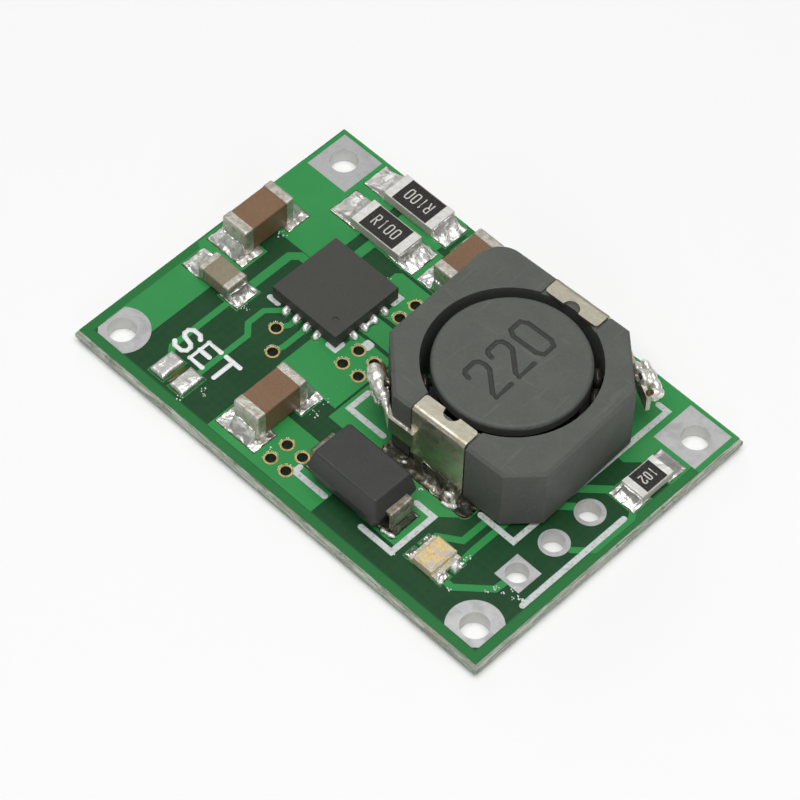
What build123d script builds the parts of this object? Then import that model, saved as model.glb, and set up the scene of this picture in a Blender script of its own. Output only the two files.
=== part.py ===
"""Battery charger module: a small circuit board with a shielded inductor and its chips.

Sizes are in millimetres. Places on the board are counted in steps of the layout grid from its
front left corner, x along the long side and y along the short side, so the layout spreads with
the board. The part's own origin is under the middle of the board, on the surface it lies on.
"""
import math
import os
from collections import namedtuple

from build123d import *

# Board
BOARD_LENGTH = 25.0
BOARD_WIDTH = 17.0
GRID_COLUMNS = 25
GRID_ROWS = 17
LAMINATE_T = 0.69
COPPER_T = 0.035
MASK_T = 0.02
SCORE_INSET = 0.13
SCORE_DEPTH = 0.24
MASK_OVERLAP = 0.05
BOTTOM_MARGIN = 0.5
BOTTOM_CLEARANCE = 0.45
LEGEND_T = 0.008
LEGEND_W = 0.29
LEGEND_DOT = 0.5
SOLDER_T = 0.03
FILLET_SLOPE = 0.12

# Corner terminals
CORNER_INSET = 1.5
CORNER_HOLE_D = 1.35
CORNER_PAD = 2.45
CORNER_PAD_SHIFT = 0.12
CORNER_PAD_R = 1.31
CORNER_PAD_FLAT = 0.88
CORNER_PAD_CUT = 0.22
PLATING_T = 0.03
TINNING_T = 0.012

# Header terminals
HEADER_FROM_EDGE = 2.1
HEADER_Y = 7.00
HEADER_PITCH = 2.27
HEADER_HOLE_D = 1.06
HEADER_PAD = 1.44
HEADER_PAD_SHIFT = 0.05

# Vias
VIA_HOLE_D = 0.50
VIA_RING_D = 0.68
VIA_PLACES = (
    (9.73, 8.26), (10.72, 8.26), (9.73, 7.24), (10.72, 7.24),
    (11.18, 2.38), (12.13, 2.38), (11.18, 1.36), (12.13, 1.36),
    (6.24, 6.50), (7.08, 5.46), (9.73, 11.88), (9.73, 10.87),
)

# Controller chip
CHIP_X = 6.90
CHIP_Y = 9.60
CHIP_SIDE = 4.0
CHIP_H = 0.80
LEAD_PITCH = 0.65
LEAD_W = 0.30
LEAD_LENGTH = 0.45
LEAD_T = 0.20
LEADS_A_SIDE = 4
LEAD_TOE = 0.32
SLUG_SIDE = 2.4
DIMPLE_D = 0.30
DIMPLE_DEPTH = 0.05
DIMPLE_FROM_EDGE = 0.70

# Inductor
COIL_Y = 10.55
COIL_ROOM_LEFT = 0.39
COIL_TURN = 2.5
RING_LENGTH = 10.1
RING_WIDTH = 9.65
RING_H = 3.65
RING_BIG_CORNER = 2.45
RING_SMALL_CORNER = 1.35
RING_ROUND_CORNER = 1.25
RING_BEVEL = 0.14
BORE_D = 8.1
DRUM_D = 7.16
DRUM_FLANGE_T = 0.60
DRUM_POST_D = 3.4
DRUM_RIM_R = 0.18
DRUM_PROUD = 0.02
WIRE_D = 0.36
WINDING_D = 6.3
NOTCH_W = 0.55
CLIP_T = 0.20
CLIP_W = 3.0
CLIP_SIDE_GAP = 0.08
CLIP_POCKET = 0.12
CLIP_TAB = 0.95
CLIP_FOOT = 1.75
CLIP_BEND_R = 0.22
CLIP_NOTCH_R = 0.42
CLIP_CORNER_R = 0.18
STRAP_LOW = 1.30
STRAP_H = 0.95
STRAP_LAP = 0.25
STRAP_LENGTH = 2.65
FRONT_STRAP_SPRING = 7.0
REAR_STRAP_SPRING = 14.0
BEAD_T = 0.45
BEAD_RISE = 0.20
BEAD_LENGTH = 2.3
COIL_PAD_LENGTH = 5.3
COIL_PAD_WIDTH = 2.35
COIL_PAD_R = 0.35
COIL_PAD_TOE = 0.70

# Diode
DIODE_X = 15.20
DIODE_Y = 2.97
DIODE_LENGTH = 4.3
DIODE_WIDTH = 2.6
DIODE_H = 2.18
DIODE_DRAFT_END = 0.28
DIODE_DRAFT_SIDE = 0.20
DIODE_ROUND = 0.18
DIODE_RIM_R = 0.12
DIODE_LEAD_W = 1.30
DIODE_LEAD_T = 0.20
DIODE_LEAD_OUT = 0.38
DIODE_LEAD_FOOT = 1.05
DIODE_PAD_TOE = 0.18
DIODE_PAD_LENGTH = 1.65
DIODE_PAD_WIDTH = 1.75
PARTING_H = 1.10

# Lamp
LAMP_X = 19.95
LAMP_Y = 2.67
LAMP_SIDE = 1.60
LAMP_BASE_H = 0.22
LAMP_LENS_LENGTH = 1.12
LAMP_LENS_H = 0.33
LAMP_LENS_BEVEL = 0.10
LAMP_END_LENGTH = 0.24
LAMP_END_WIDTH = 0.50
LAMP_END_PITCH = 0.90
LAMP_PAD_TOE = 0.30
LAMP_PAD_SPARE = 0.08

# Solder bridge
BRIDGE_X = 5.02
BRIDGE_Y = 1.54
BRIDGE_PAD_LENGTH = 0.92
BRIDGE_PAD_WIDTH = 1.42
BRIDGE_PITCH = 1.26
BRIDGE_DOME_H = 0.20

# Two-ended chips: pads' centre, turn, body, metal band, pad beyond, under and beside the body,
# the body's drift on its pads, and how far the solder climbs
Chip = namedtuple("Chip", "x y turn length width height band toe heel side drift_x drift_y climb")
CAP_LENGTH = 3.1
CAP_WIDTH = 1.55
CAP_H = 1.6
CAP_BAND = 0.50
RES_LENGTH = 3.05
RES_WIDTH = 1.52
RES_H = 0.58
RES_BAND = 0.45
SMALL_LENGTH = 2.0
SMALL_WIDTH = 1.25
SMALL_CAP_H = 0.87
SMALL_RES_H = 0.50
SMALL_BAND = 0.36
REAR_CAP_Y = GRID_ROWS * (1 - 2.20 / BOARD_WIDTH)
REAR_RES_Y = GRID_ROWS * (1 - 1.06 / BOARD_WIDTH)
CAPACITORS = {
    "input_capacitor": Chip(1.55, 9.93, 90, CAP_LENGTH, CAP_WIDTH, CAP_H, CAP_BAND,
                            0.62, 0.78, 0.42, 0.07, -0.05, 0.80),
    "output_capacitor": Chip(9.26, 3.17, 90, CAP_LENGTH, CAP_WIDTH, CAP_H, CAP_BAND,
                             0.63, 0.82, 0.48, 0.12, -0.05, 0.85),
    "rear_capacitor": Chip(9.99, REAR_CAP_Y, 90, CAP_LENGTH, CAP_WIDTH, CAP_H, CAP_BAND,
                           0.28, 1.10, 0.53, 0.26, -0.06, 0.80),
    "small_capacitor": Chip(2.47, 6.65, 0, SMALL_LENGTH, SMALL_WIDTH, SMALL_CAP_H, SMALL_BAND,
                            0.82, 0.38, 0.10, 0.23, -0.06, 0.50),
}
RESISTORS = {
    "front_sense_resistor": Chip(5.77, 13.83, 0, RES_LENGTH, RES_WIDTH, RES_H, RES_BAND,
                                 1.12, 0.48, 0.12, 0.18, -0.04, 0.45),
    "rear_sense_resistor": Chip(5.73, REAR_RES_Y, 0, RES_LENGTH, RES_WIDTH, RES_H, RES_BAND,
                                1.12, 0.48, 0.00, 0.22, 0.00, 0.45),
    "lamp_resistor": Chip(23.57, 12.27, 90, SMALL_LENGTH, SMALL_WIDTH, SMALL_RES_H, SMALL_BAND,
                          0.72, 0.43, 0.14, 0.05, -0.07, 0.38),
}
METAL_T = 0.03
BODY_ROUND = 0.09
GLAZE_T = 0.04
GLAZE_EDGE = 0.06

# Heights above the surface that the board lies on
LAMINATE_LOW = MASK_T + COPPER_T
LAMINATE_TOP = LAMINATE_LOW + LAMINATE_T
COPPER_TOP = LAMINATE_TOP + COPPER_T
BOARD_TOP = COPPER_TOP + MASK_T
SEAT = COPPER_TOP + SOLDER_T


def grid_point(x, y):
    """Point of the layout grid, in millimetres from the middle of the board."""
    return Vector((x / GRID_COLUMNS - 0.5) * BOARD_LENGTH, (y / GRID_ROWS - 0.5) * BOARD_WIDTH)


def spot(x, y, z=0.0):
    """Place on the layout grid."""
    return Location(grid_point(x, y) + Vector(0, 0, z))


def outline(*corners):
    """Flat polygon through corners on the layout grid."""
    return make_face(Polyline(*(grid_point(*corner) for corner in corners), close=True))


def ribbon(width, *points):
    """Flat track of even width along points on the layout grid, with mitred corners."""
    half = width / 2
    path = [grid_point(*point) for point in points]
    steps = [(after - before).normalized() for before, after in zip(path, path[1:])]
    sides = [Vector(-step.Y, step.X) for step in steps]
    offsets = [sides[0] * half]
    for before, after in zip(sides, sides[1:]):
        middle = (before + after).normalized()
        offsets.append(middle * (half / middle.dot(before)))
    offsets.append(sides[-1] * half)
    left = [point + offset for point, offset in zip(path, offsets)]
    right = [point - offset for point, offset in zip(path, offsets)]
    return make_face(Polyline(*left, *reversed(right), close=True))


def slab(sketch, low, high):
    """Even layer of a flat shape between two heights."""
    return extrude(Pos(0, 0, low) * sketch, amount=high - low)


def merged(shapes):
    """One shape out of several that touch or overlap."""
    shapes = list(shapes)
    return shapes[0].fuse(*shapes[1:]) if len(shapes) > 1 else shapes[0]


def save(name, shapes):
    """Write one node: a single solid or a group of separate solids."""
    solids = [solid for shape in shapes for solid in shape.solids()]
    for number, solid in enumerate(solids):
        solid.label = name if len(solids) == 1 else f"{name}_{number + 1}"
    export_step(solids[0] if len(solids) == 1 else Compound(children=solids), f"parts/{name}.step")


# Where the terminals and the pads lie

def corner_pads():
    """Hole place and flat pad shape of each corner terminal."""
    x = BOARD_LENGTH / 2 - CORNER_INSET
    y = BOARD_WIDTH / 2 - CORNER_INSET
    pads = []
    for across in (-1, 1):
        square = Pos(-across * CORNER_PAD_SHIFT, -CORNER_PAD_SHIFT / 2)
        pads.append((Pos(across * x, y), square * Rectangle(CORNER_PAD, CORNER_PAD)))
        reach = CORNER_PAD_R + CORNER_PAD_FLAT
        middle = reach / 2 - CORNER_PAD_FLAT
        disc = Circle(CORNER_PAD_R) & Pos(-across * middle, middle) * Rectangle(reach, reach)
        tip = disc.vertices().sort_by(lambda point: across * point.X - point.Y)[-1]
        pads.append((Pos(across * x, -y), chamfer(tip, CORNER_PAD_CUT)))
    return pads


def header_pads():
    """Hole place and flat pad shape of each header terminal."""
    x = BOARD_LENGTH / 2 - HEADER_FROM_EDGE
    y = grid_point(0, HEADER_Y).Y
    shapes = (Rectangle(HEADER_PAD, HEADER_PAD), Circle(HEADER_PAD / 2), Circle(HEADER_PAD / 2))
    return [(Pos(x, y + step * HEADER_PITCH), Pos(HEADER_PAD_SHIFT, 0) * shape)
            for step, shape in zip((-1, 0, 1), shapes)]


def chip_pads(chip):
    """Both pads of a two-ended chip."""
    pad_length = chip.toe + chip.heel
    reach = chip.length / 2 + chip.toe - pad_length / 2
    pad = Rectangle(pad_length, chip.width + 2 * chip.side)
    base = spot(chip.x, chip.y) * Rotation(0, 0, chip.turn)
    return [base * Pos(side * reach, 0) * pad for side in (-1, 1)]


def lead_spots():
    """Place of each side lead of the controller, with local x pointing outwards."""
    spots = []
    for quarter in range(4):
        for number in range(LEADS_A_SIDE):
            along = (number - (LEADS_A_SIDE - 1) / 2) * LEAD_PITCH
            spots.append(spot(CHIP_X, CHIP_Y) * Rotation(0, 0, 90 * quarter)
                         * Pos(CHIP_SIDE / 2, along))
    return spots


def controller_pads():
    """Pads under the controller's leads and the one under its slug."""
    length = LEAD_LENGTH + LEAD_TOE
    middle = (LEAD_TOE - LEAD_LENGTH) / 2
    pads = [place * Pos(middle, 0) * Rectangle(length, LEAD_W) for place in lead_spots()]
    return pads + [spot(CHIP_X, CHIP_Y) * Rectangle(SLUG_SIDE, SLUG_SIDE)]


def coil_side_y():
    """Distance from the inductor's middle to the outer face of a clip."""
    return RING_WIDTH / 2


def coil_place():
    """Middle of the inductor, in its share of the room from rear capacitor to lamp resistor."""
    rear = CAPACITORS["rear_capacitor"]
    right = RESISTORS["lamp_resistor"]
    left_x = grid_point(rear.x, 0).X + rear.drift_x + rear.width / 2
    right_x = grid_point(right.x, 0).X + right.drift_x - right.width / 2
    spare = right_x - left_x - RING_LENGTH
    x = left_x + COIL_ROOM_LEFT * spare + RING_LENGTH / 2
    return Pos(x, grid_point(0, COIL_Y).Y)


def coil_pads():
    """Front and rear pads under the inductor's clips."""
    reach = coil_side_y() + COIL_PAD_TOE - COIL_PAD_WIDTH / 2
    pad = RectangleRounded(COIL_PAD_LENGTH, COIL_PAD_WIDTH, COIL_PAD_R)
    return [coil_place() * Pos(0, side * reach) * pad for side in (-1, 1)]


def diode_pads():
    """Both pads of the diode."""
    reach = DIODE_LENGTH / 2 + DIODE_LEAD_OUT + DIODE_PAD_TOE - DIODE_PAD_LENGTH / 2
    pad = Rectangle(DIODE_PAD_LENGTH, DIODE_PAD_WIDTH)
    return [spot(DIODE_X, DIODE_Y) * Pos(side * reach, 0) * pad for side in (-1, 1)]


def lamp_pads():
    """Four pads of the lamp."""
    length = LAMP_END_LENGTH + LAMP_PAD_TOE
    reach = LAMP_SIDE / 2 + LAMP_PAD_TOE - length / 2
    pad = Rectangle(length, LAMP_END_WIDTH + 2 * LAMP_PAD_SPARE)
    return [spot(LAMP_X, LAMP_Y) * Pos(across * reach, along * LAMP_END_PITCH / 2) * pad
            for across in (-1, 1) for along in (-1, 1)]


def bridge_pads():
    """Two pads of the solder bridge."""
    pad = Rectangle(BRIDGE_PAD_LENGTH, BRIDGE_PAD_WIDTH)
    return [spot(BRIDGE_X, BRIDGE_Y) * Pos(side * BRIDGE_PITCH / 2, 0) * pad for side in (-1, 1)]


# Copper, mask and legend

def via_discs(diameter):
    """Flat discs at the vias."""
    return [spot(x, y) * Circle(diameter / 2) for x, y in VIA_PLACES]


def terminal_pads():
    """Flat pad shapes of all plated terminals."""
    return [place * pad for place, pad in corner_pads() + header_pads()]


def soldered_pads():
    """All pads that carry solder."""
    chips = [pad for chip in {**CAPACITORS, **RESISTORS}.values() for pad in chip_pads(chip)]
    return (chips + controller_pads() + coil_pads() + diode_pads() + lamp_pads()
            + bridge_pads())


def top_pours():
    """Wide copper areas of the top side."""
    edge_x = GRID_COLUMNS - 0.18
    edge_y = GRID_ROWS - 0.18
    return [
        outline((0.62, 1.4), (2.45, 1.4), (2.45, 7.4), (2.8, 7.7), (2.8, 9.2), (0.28, 9.2),
                (0.28, 7.4), (0.62, 7.2)),
        outline((0.18, 10.45), (4.7, 10.45), (4.7, 12.1), (5.02, 12.1), (5.02, edge_y),
                (3.05, edge_y), (2.95, edge_y), (0.25, edge_y), (0.25, 14.2), (0.18, 14.2)),
        outline((5.66, 11.7), (6.04, 11.7), (6.04, 12.98), (8.62, 12.98), (11.3, 12.98),
                (11.3, 14.4), (8.62, 14.4), (8.62, 14.75), (8.15, 14.75), (8.15, edge_y),
                (5.66, edge_y)),
        outline((7.85, 11.6), (7.85, 12.5), (8.05, 12.7), (11.6, 12.7), (11.6, edge_y),
                (18.4, edge_y), (18.4, 12.3), (13.0, 12.3), (13.0, 10.48), (9.1, 10.48),
                (9.1, 11.6)),
        outline((9.1, 9.15), (10.9, 9.15), (11.42, 8.65), (11.42, 4.78), (16.0, 4.78),
                (16.0, 2.0), (18.35, 2.0), (18.35, 4.3), (19.1, 5.0), (19.45, 5.35),
                (19.45, 7.6), (13.0, 7.6), (13.0, 10.15), (9.1, 10.15)),
        outline((7.82, 5.3), (11.2, 5.3), (11.2, 8.6), (10.95, 8.85), (9.1, 8.85), (9.1, 8.0),
                (7.82, 8.0)),
        outline((7.98, 0.66), (14.38, 0.66), (14.38, 3.9), (12.4, 3.9), (12.4, 3.44),
                (7.98, 3.44)),
        outline((18.8, 12.3), (22.15, 12.3), (22.75, 12.9), (24.4, 12.9), (24.4, 14.25),
                (edge_x, 14.25), (edge_x, edge_y), (18.8, edge_y)),
    ]


def top_tracks():
    """Narrow copper tracks of the top side."""
    header_x = 22.9
    second_y = HEADER_Y
    third_y = 9.27
    return [
        ribbon(0.34, (4.95, 10.15), (4.1, 10.15), (3.73, 9.78), (3.73, 7.0)),
        ribbon(0.22, (3.71, 6.2), (3.71, 2.5), (4.1, 2.05)),
        ribbon(0.20, (5.92, 7.6), (5.16, 6.78), (5.16, 5.8), (5.65, 5.3), (5.65, 2.0)),
        ribbon(0.20, (6.55, 7.6), (6.55, 7.05), (6.24, 6.5)),
        ribbon(0.20, (7.22, 7.6), (7.22, 6.0), (7.08, 5.46)),
        ribbon(0.24, (19.15, 3.2), (19.15, 3.6), (20.12, 4.25), (20.12, 6.4)),
        ribbon(0.24, (20.86, 3.2), (20.78, 4.2), (20.78, 6.4)),
        ribbon(0.25, (20.9, 2.2), (21.45, 2.2), (22.82, 3.45), (header_x, 4.3)),
        ribbon(0.22, (header_x, second_y), (23.75, second_y + 0.25), (24.45, 7.95),
               (24.45, 10.3), (24.15, 10.75)),
        ribbon(0.30, (header_x, third_y), (22.3, third_y - 0.25), (20.9, 7.75)),
        ribbon(0.32, (23.1, 11.1), (21.2, 9.3)),
    ]


def grown(shape, amount):
    """Flat shape made larger all round, its corners kept sharp."""
    return offset(shape, amount, kind=Kind.INTERSECTION) if amount else shape


def top_copper(growth=0.0):
    """Flat copper of the top side, without the terminals."""
    areas = top_pours() + top_tracks() + soldered_pads()
    copper = merged(grown(area, growth) for area in areas)
    return copper - terminal_pads() - via_discs(VIA_HOLE_D + 2 * PLATING_T)


def bottom_copper(growth=0.0):
    """Flat copper of the bottom side, without the terminals."""
    margin = BOTTOM_MARGIN - growth
    pour = Rectangle(BOARD_LENGTH - 2 * margin, BOARD_WIDTH - 2 * margin)
    clear = BOTTOM_CLEARANCE - growth
    side = CORNER_PAD + 2 * clear
    corners = corner_pads()
    keep_out = [place * Rectangle(side, side) for place, _ in (corners[0], corners[3])]
    keep_out += [place * Pos(HEADER_PAD_SHIFT, 0) * Circle(HEADER_PAD / 2 + clear)
                 for place, _ in header_pads()[1:]]
    return pour - keep_out - terminal_pads() - via_discs(VIA_HOLE_D + 2 * PLATING_T)


def mask(copper, cover, openings, laminate_face, outward):
    """Mask over one side: level over bare laminate, and one step up over the copper."""
    sheet = Rectangle(BOARD_LENGTH - 2 * SCORE_INSET, BOARD_WIDTH - 2 * SCORE_INSET)
    bare = sheet - copper - openings
    cover = (cover & sheet) - openings
    copper_face = laminate_face + outward * COPPER_T
    mask_face = copper_face + outward * MASK_T
    low = slab(bare, min(laminate_face, copper_face), max(laminate_face, copper_face))
    high = slab(cover, min(copper_face, mask_face), max(copper_face, mask_face))
    return low + high


def stroke(*points):
    """Printed line with round ends along points on the layout grid."""
    ends = [spot(*point) * Circle(LEGEND_W / 2) for point in (points[0], points[-1])]
    return merged([ribbon(LEGEND_W, *points)] + ends)


def legend_strokes():
    """Printed lines and the dot of the top side."""
    return [
        stroke((11.69, 6.9), (11.69, 5.72), (13.8, 5.72)),
        stroke((19.72, 5.77), (21.68, 5.77), (21.68, 15.65), (21.15, 15.65)),
        stroke((17.32, 4.22), (18.36, 4.22), (18.36, 1.62), (16.52, 1.62)),
        stroke((12.42, 1.94), (12.42, 1.62), (14.28, 1.62)),
        stroke((24.22, 3.68), (24.22, 10.05)),
        stroke((4.80, 7.53), (5.30, 7.53)),
        stroke((8.55, 7.53), (8.97, 7.53), (8.97, 7.95)),
        stroke((8.97, 11.25), (8.97, 11.67), (8.55, 11.67)),
        stroke((4.83, 11.25), (4.83, 11.67), (5.25, 11.67)),
        spot(9.81, 8.75) * RectangleRounded(LEGEND_DOT, LEGEND_DOT, LEGEND_DOT / 4),
    ]


# Board pieces

def laminate():
    """Board core with scored and snapped edges and the drilled holes."""
    middle = LAMINATE_T - 2 * SCORE_DEPTH
    inner = Rectangle(BOARD_LENGTH - 2 * SCORE_INSET, BOARD_WIDTH - 2 * SCORE_INSET)
    outer = Rectangle(BOARD_LENGTH, BOARD_WIDTH)
    low = LAMINATE_LOW + SCORE_DEPTH
    core = (loft([Pos(0, 0, LAMINATE_LOW) * inner, Pos(0, 0, low) * outer])
            + slab(outer, low, low + middle)
            + loft([Pos(0, 0, low + middle) * outer, Pos(0, 0, LAMINATE_TOP) * inner]))
    holes = [place * Circle(CORNER_HOLE_D / 2 + PLATING_T) for place, _ in corner_pads()]
    holes += [place * Circle(HEADER_HOLE_D / 2 + PLATING_T) for place, _ in header_pads()]
    holes += via_discs(VIA_HOLE_D + 2 * PLATING_T)
    return core - [slab(hole, LAMINATE_LOW, LAMINATE_TOP) for hole in holes]


def terminal(place, pad, hole_d):
    """Plated hole: a barrel with a tinned pad on each side."""
    low = LAMINATE_LOW - COPPER_T - TINNING_T
    high = COPPER_TOP + TINNING_T
    barrel = slab(Circle(hole_d / 2 + PLATING_T), low, high)
    pads = slab(pad, low, LAMINATE_LOW) + slab(pad, LAMINATE_TOP, high)
    return place * (barrel + pads - slab(Circle(hole_d / 2), low, high))


def via(x, y):
    """Plated via with a bare ring on the top side and a bare end below."""
    high = COPPER_TOP + TINNING_T
    tube = slab(spot(x, y) * Circle(VIA_HOLE_D / 2 + PLATING_T), MASK_T, high)
    ring = slab(spot(x, y) * Circle(VIA_RING_D / 2), COPPER_TOP, high)
    return tube + ring - slab(spot(x, y) * Circle(VIA_HOLE_D / 2), MASK_T, high)


def build_board():
    """Write the board's own pieces."""
    copper = top_copper()
    under = bottom_copper()
    openings = terminal_pads() + soldered_pads() + via_discs(VIA_RING_D)
    under_openings = terminal_pads() + via_discs(VIA_HOLE_D + 2 * PLATING_T)
    cover = mask(copper, top_copper(MASK_OVERLAP), openings, LAMINATE_TOP, 1)
    under_cover = mask(under, bottom_copper(MASK_OVERLAP), under_openings, LAMINATE_LOW, -1)
    strokes = slab(merged(legend_strokes()), COPPER_TOP, BOARD_TOP + LEGEND_T)
    gaps = [slab(disc, COPPER_TOP, BOARD_TOP + LEGEND_T) for disc in via_discs(VIA_RING_D)]
    save("laminate", [laminate()])
    save("top_copper", [slab(copper, LAMINATE_TOP, COPPER_TOP)])
    save("bottom_copper", [slab(under, MASK_T, LAMINATE_LOW)])
    save("top_mask", [cover])
    save("bottom_mask", [under_cover])
    save("legend", [strokes - gaps - cover])
    save("corner_terminals", [terminal(*pad, CORNER_HOLE_D) for pad in corner_pads()])
    save("header_terminals", [terminal(*pad, HEADER_HOLE_D) for pad in header_pads()])
    save("vias", [via(x, y) for x, y in VIA_PLACES])


# Solder

def pad_solder(pad):
    """Thin coat of solder over one pad."""
    return slab(pad, COPPER_TOP, SEAT)


def fillet_solder(climb, reach, width, back=0.0):
    """Hollow solder fillet along x, from a metal face at x = 0 and, under a bend, from behind it."""
    foot = Vector(reach, 0, 0)
    top = Vector(0, 0, climb)
    if climb > reach:
        hollow = TangentArc(top, foot, tangent=(FILLET_SLOPE, 0, -1))
    else:
        hollow = TangentArc(foot, top, tangent=(-1, 0, FILLET_SLOPE))
    corner = [Line((-back, 0, climb), (-back, 0, 0)), Line((-back, 0, 0), foot)]
    if back:
        corner.append(Line(top, (-back, 0, climb)))
    return extrude(make_face([hollow] + corner), amount=width / 2, both=True)


# Two-ended chips

def chip_base(chip):
    """Middle of a chip's underside, local x along its length."""
    return (spot(chip.x + chip.drift_x, chip.y + chip.drift_y, SEAT)
            * Rotation(0, 0, chip.turn))


def end_bands(chip):
    """Room that both metal ends take, over their whole height."""
    reach = (chip.length - chip.band) / 2
    block = Box(chip.band, 2 * chip.width, 2 * chip.height)
    return Pos(reach, 0, 0) * block + Pos(-reach, 0, 0) * block


def rounded_bar(length, width, height, radius):
    """Bar along x that stands on z = 0, with all its edges rounded."""
    bar = Pos(0, 0, height / 2) * Box(length, width, height)
    return fillet(bar.edges(), radius)


def capacitor(chip):
    """Ceramic body, both metal ends and both solder joints of a capacitor."""
    outer = rounded_bar(chip.length, chip.width, chip.height, BODY_ROUND + METAL_T)
    body = Pos(0, 0, METAL_T) * rounded_bar(chip.length - 2 * METAL_T, chip.width - 2 * METAL_T,
                                            chip.height - 2 * METAL_T, BODY_ROUND)
    ends = (outer & end_bands(chip)) - body
    base = chip_base(chip)
    return base * body, base * ends, chip_joints(chip)


def resistor(chip):
    """Ceramic slab, black glaze, both wrap-round ends and both solder joints of a resistor."""
    slab_h = chip.height - METAL_T - GLAZE_T
    body = Pos(0, 0, METAL_T + slab_h / 2) * Box(chip.length - 2 * METAL_T, chip.width, slab_h)
    wrap_h = slab_h + 2 * METAL_T
    wrap = Pos(0, 0, wrap_h / 2) * Box(chip.length, chip.width, wrap_h)
    wrap = fillet(wrap.edges().filter_by(Axis.Y), METAL_T * 0.9)
    ends = (wrap & end_bands(chip)) - body
    glaze_length = chip.length - 2 * chip.band
    glaze = Pos(0, 0, METAL_T + slab_h + GLAZE_T / 2) * Box(
        glaze_length, chip.width - 2 * GLAZE_EDGE, GLAZE_T)
    base = chip_base(chip)
    return base * body, base * glaze, base * ends, chip_joints(chip)


def chip_joints(chip):
    """Solder joints of a two-ended chip: the coated pads and a fillet up each end."""
    turn = math.radians(chip.turn)
    along = chip.drift_x * math.cos(turn) + chip.drift_y * math.sin(turn)
    joints = []
    for side, pad in zip((-1, 1), chip_pads(chip)):
        reach = chip.toe - side * along
        wedge = fillet_solder(chip.climb, reach * 0.94, chip.width - 2 * BODY_ROUND)
        spin = Rotation(0, 0, 90 - 90 * side)
        place = chip_base(chip) * Pos(side * chip.length / 2, 0, 0) * spin
        joints.append(pad_solder(pad) + place * wedge)
    return joints


def build_chips():
    """Write every capacitor and resistor, and the solder that they share by kind."""
    cap_solder = []
    for name, chip in CAPACITORS.items():
        body, ends, joints = capacitor(chip)
        save(f"{name}_body", [body])
        save(f"{name}_ends", [ends])
        cap_solder += joints
    res_solder = []
    for name, chip in RESISTORS.items():
        body, glaze, ends, joints = resistor(chip)
        save(f"{name}_slab", [body])
        save(f"{name}_glaze", [glaze])
        save(f"{name}_ends", [ends])
        res_solder += joints
    save("capacitor_solder", cap_solder)
    save("resistor_solder", res_solder)


# Controller

def build_controller():
    """Write the controller's body, leads, slug and solder."""
    base = spot(CHIP_X, CHIP_Y, SEAT)
    lead = Pos(-LEAD_LENGTH / 2, 0, SEAT + LEAD_T / 2) * Box(LEAD_LENGTH, LEAD_W, LEAD_T)
    leads = [place * lead for place in lead_spots()]
    slug = base * Pos(0, 0, LEAD_T / 2) * Box(SLUG_SIDE, SLUG_SIDE, LEAD_T)
    inset = CHIP_SIDE / 2 - DIMPLE_FROM_EDGE
    dimple = base * Pos(inset, -inset, CHIP_H - DIMPLE_DEPTH / 2) * Cylinder(
        DIMPLE_D / 2, DIMPLE_DEPTH)
    body = base * Pos(0, 0, CHIP_H / 2) * Box(CHIP_SIDE, CHIP_SIDE, CHIP_H)
    body = body - leads - slug - dimple
    pads = controller_pads()
    wedge = Pos(0, 0, SEAT) * fillet_solder(LEAD_T, LEAD_TOE * 0.94, LEAD_W)
    joints = [pad_solder(pad) + place * wedge for pad, place in zip(pads, lead_spots())]
    save("controller_body", [body])
    save("controller_leads", leads)
    save("controller_slug", [slug])
    save("controller_solder", joints + [pad_solder(pads[-1])])


# Inductor

def coil_base():
    """Middle of the inductor at the height of its feet."""
    return coil_place() * Pos(0, 0, SEAT) * Rotation(0, 0, COIL_TURN)


def ring_outline():
    """Shield outline: two large corners, a small one and a round one."""
    half_x = RING_LENGTH / 2
    half_y = RING_WIDTH / 2
    big = RING_BIG_CORNER
    small = RING_SMALL_CORNER
    face = make_face(Polyline(
        (-half_x + big, -half_y), (half_x - small, -half_y), (half_x, -half_y + small),
        (half_x, half_y - big), (half_x - big, half_y), (-half_x, half_y), (-half_x, -half_y + big),
        close=True))
    corner = face.vertices().sort_by(lambda point: point.X - point.Y)[0]
    return fillet(corner, RING_ROUND_CORNER)


def wire_way(width, low, high, near, far):
    """Straight way of the winding's ends, out through both large corners."""
    bar = Pos((near + far) / 2, 0, (low + high) / 2) * Box(far - near, width, high - low)
    return [Rotation(0, 0, turn) * bar for turn in (45, 225)]


def corner_face():
    """Distance from the inductor's middle to the face of a large corner."""
    return (RING_LENGTH / 2 + RING_WIDTH / 2 - RING_BIG_CORNER) / math.sqrt(2)


def wire_height():
    """Height of the winding's ends above the feet, a little over the straps."""
    return STRAP_LOW + STRAP_H + METAL_T + WIRE_D / 2


def shield_ring():
    """Octagonal ferrite ring with its bore, clip pockets and wire notches."""
    top = CLIP_T + RING_H
    ring = slab(ring_outline(), CLIP_T, top)
    rim = ring.faces().sort_by(Axis.Z)[-1].edges()
    ring = chamfer(rim, RING_BEVEL)
    ring -= Pos(0, 0, top / 2) * Cylinder(BORE_D / 2, 2 * top)
    pocket_w = CLIP_W + 2 * CLIP_SIDE_GAP
    deep = coil_side_y() - CLIP_T
    side = Pos(0, -deep - CLIP_T, top / 2) * Box(pocket_w, 2 * CLIP_T, 2 * top)
    tab_y = (BORE_D / 2 * 0.7 + coil_side_y()) / 2
    roof = Pos(0, -tab_y, top) * Box(
        pocket_w, coil_side_y() - BORE_D / 2 * 0.7, 2 * CLIP_POCKET)
    for turn in (0, 180):
        ring -= Rotation(0, 0, turn) * side
        ring -= Rotation(0, 0, turn) * roof
    notch_top = wire_height() + WIRE_D
    for way in wire_way(NOTCH_W, 0, notch_top, DRUM_D / 2, RING_LENGTH):
        ring -= way
    return ring


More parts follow.
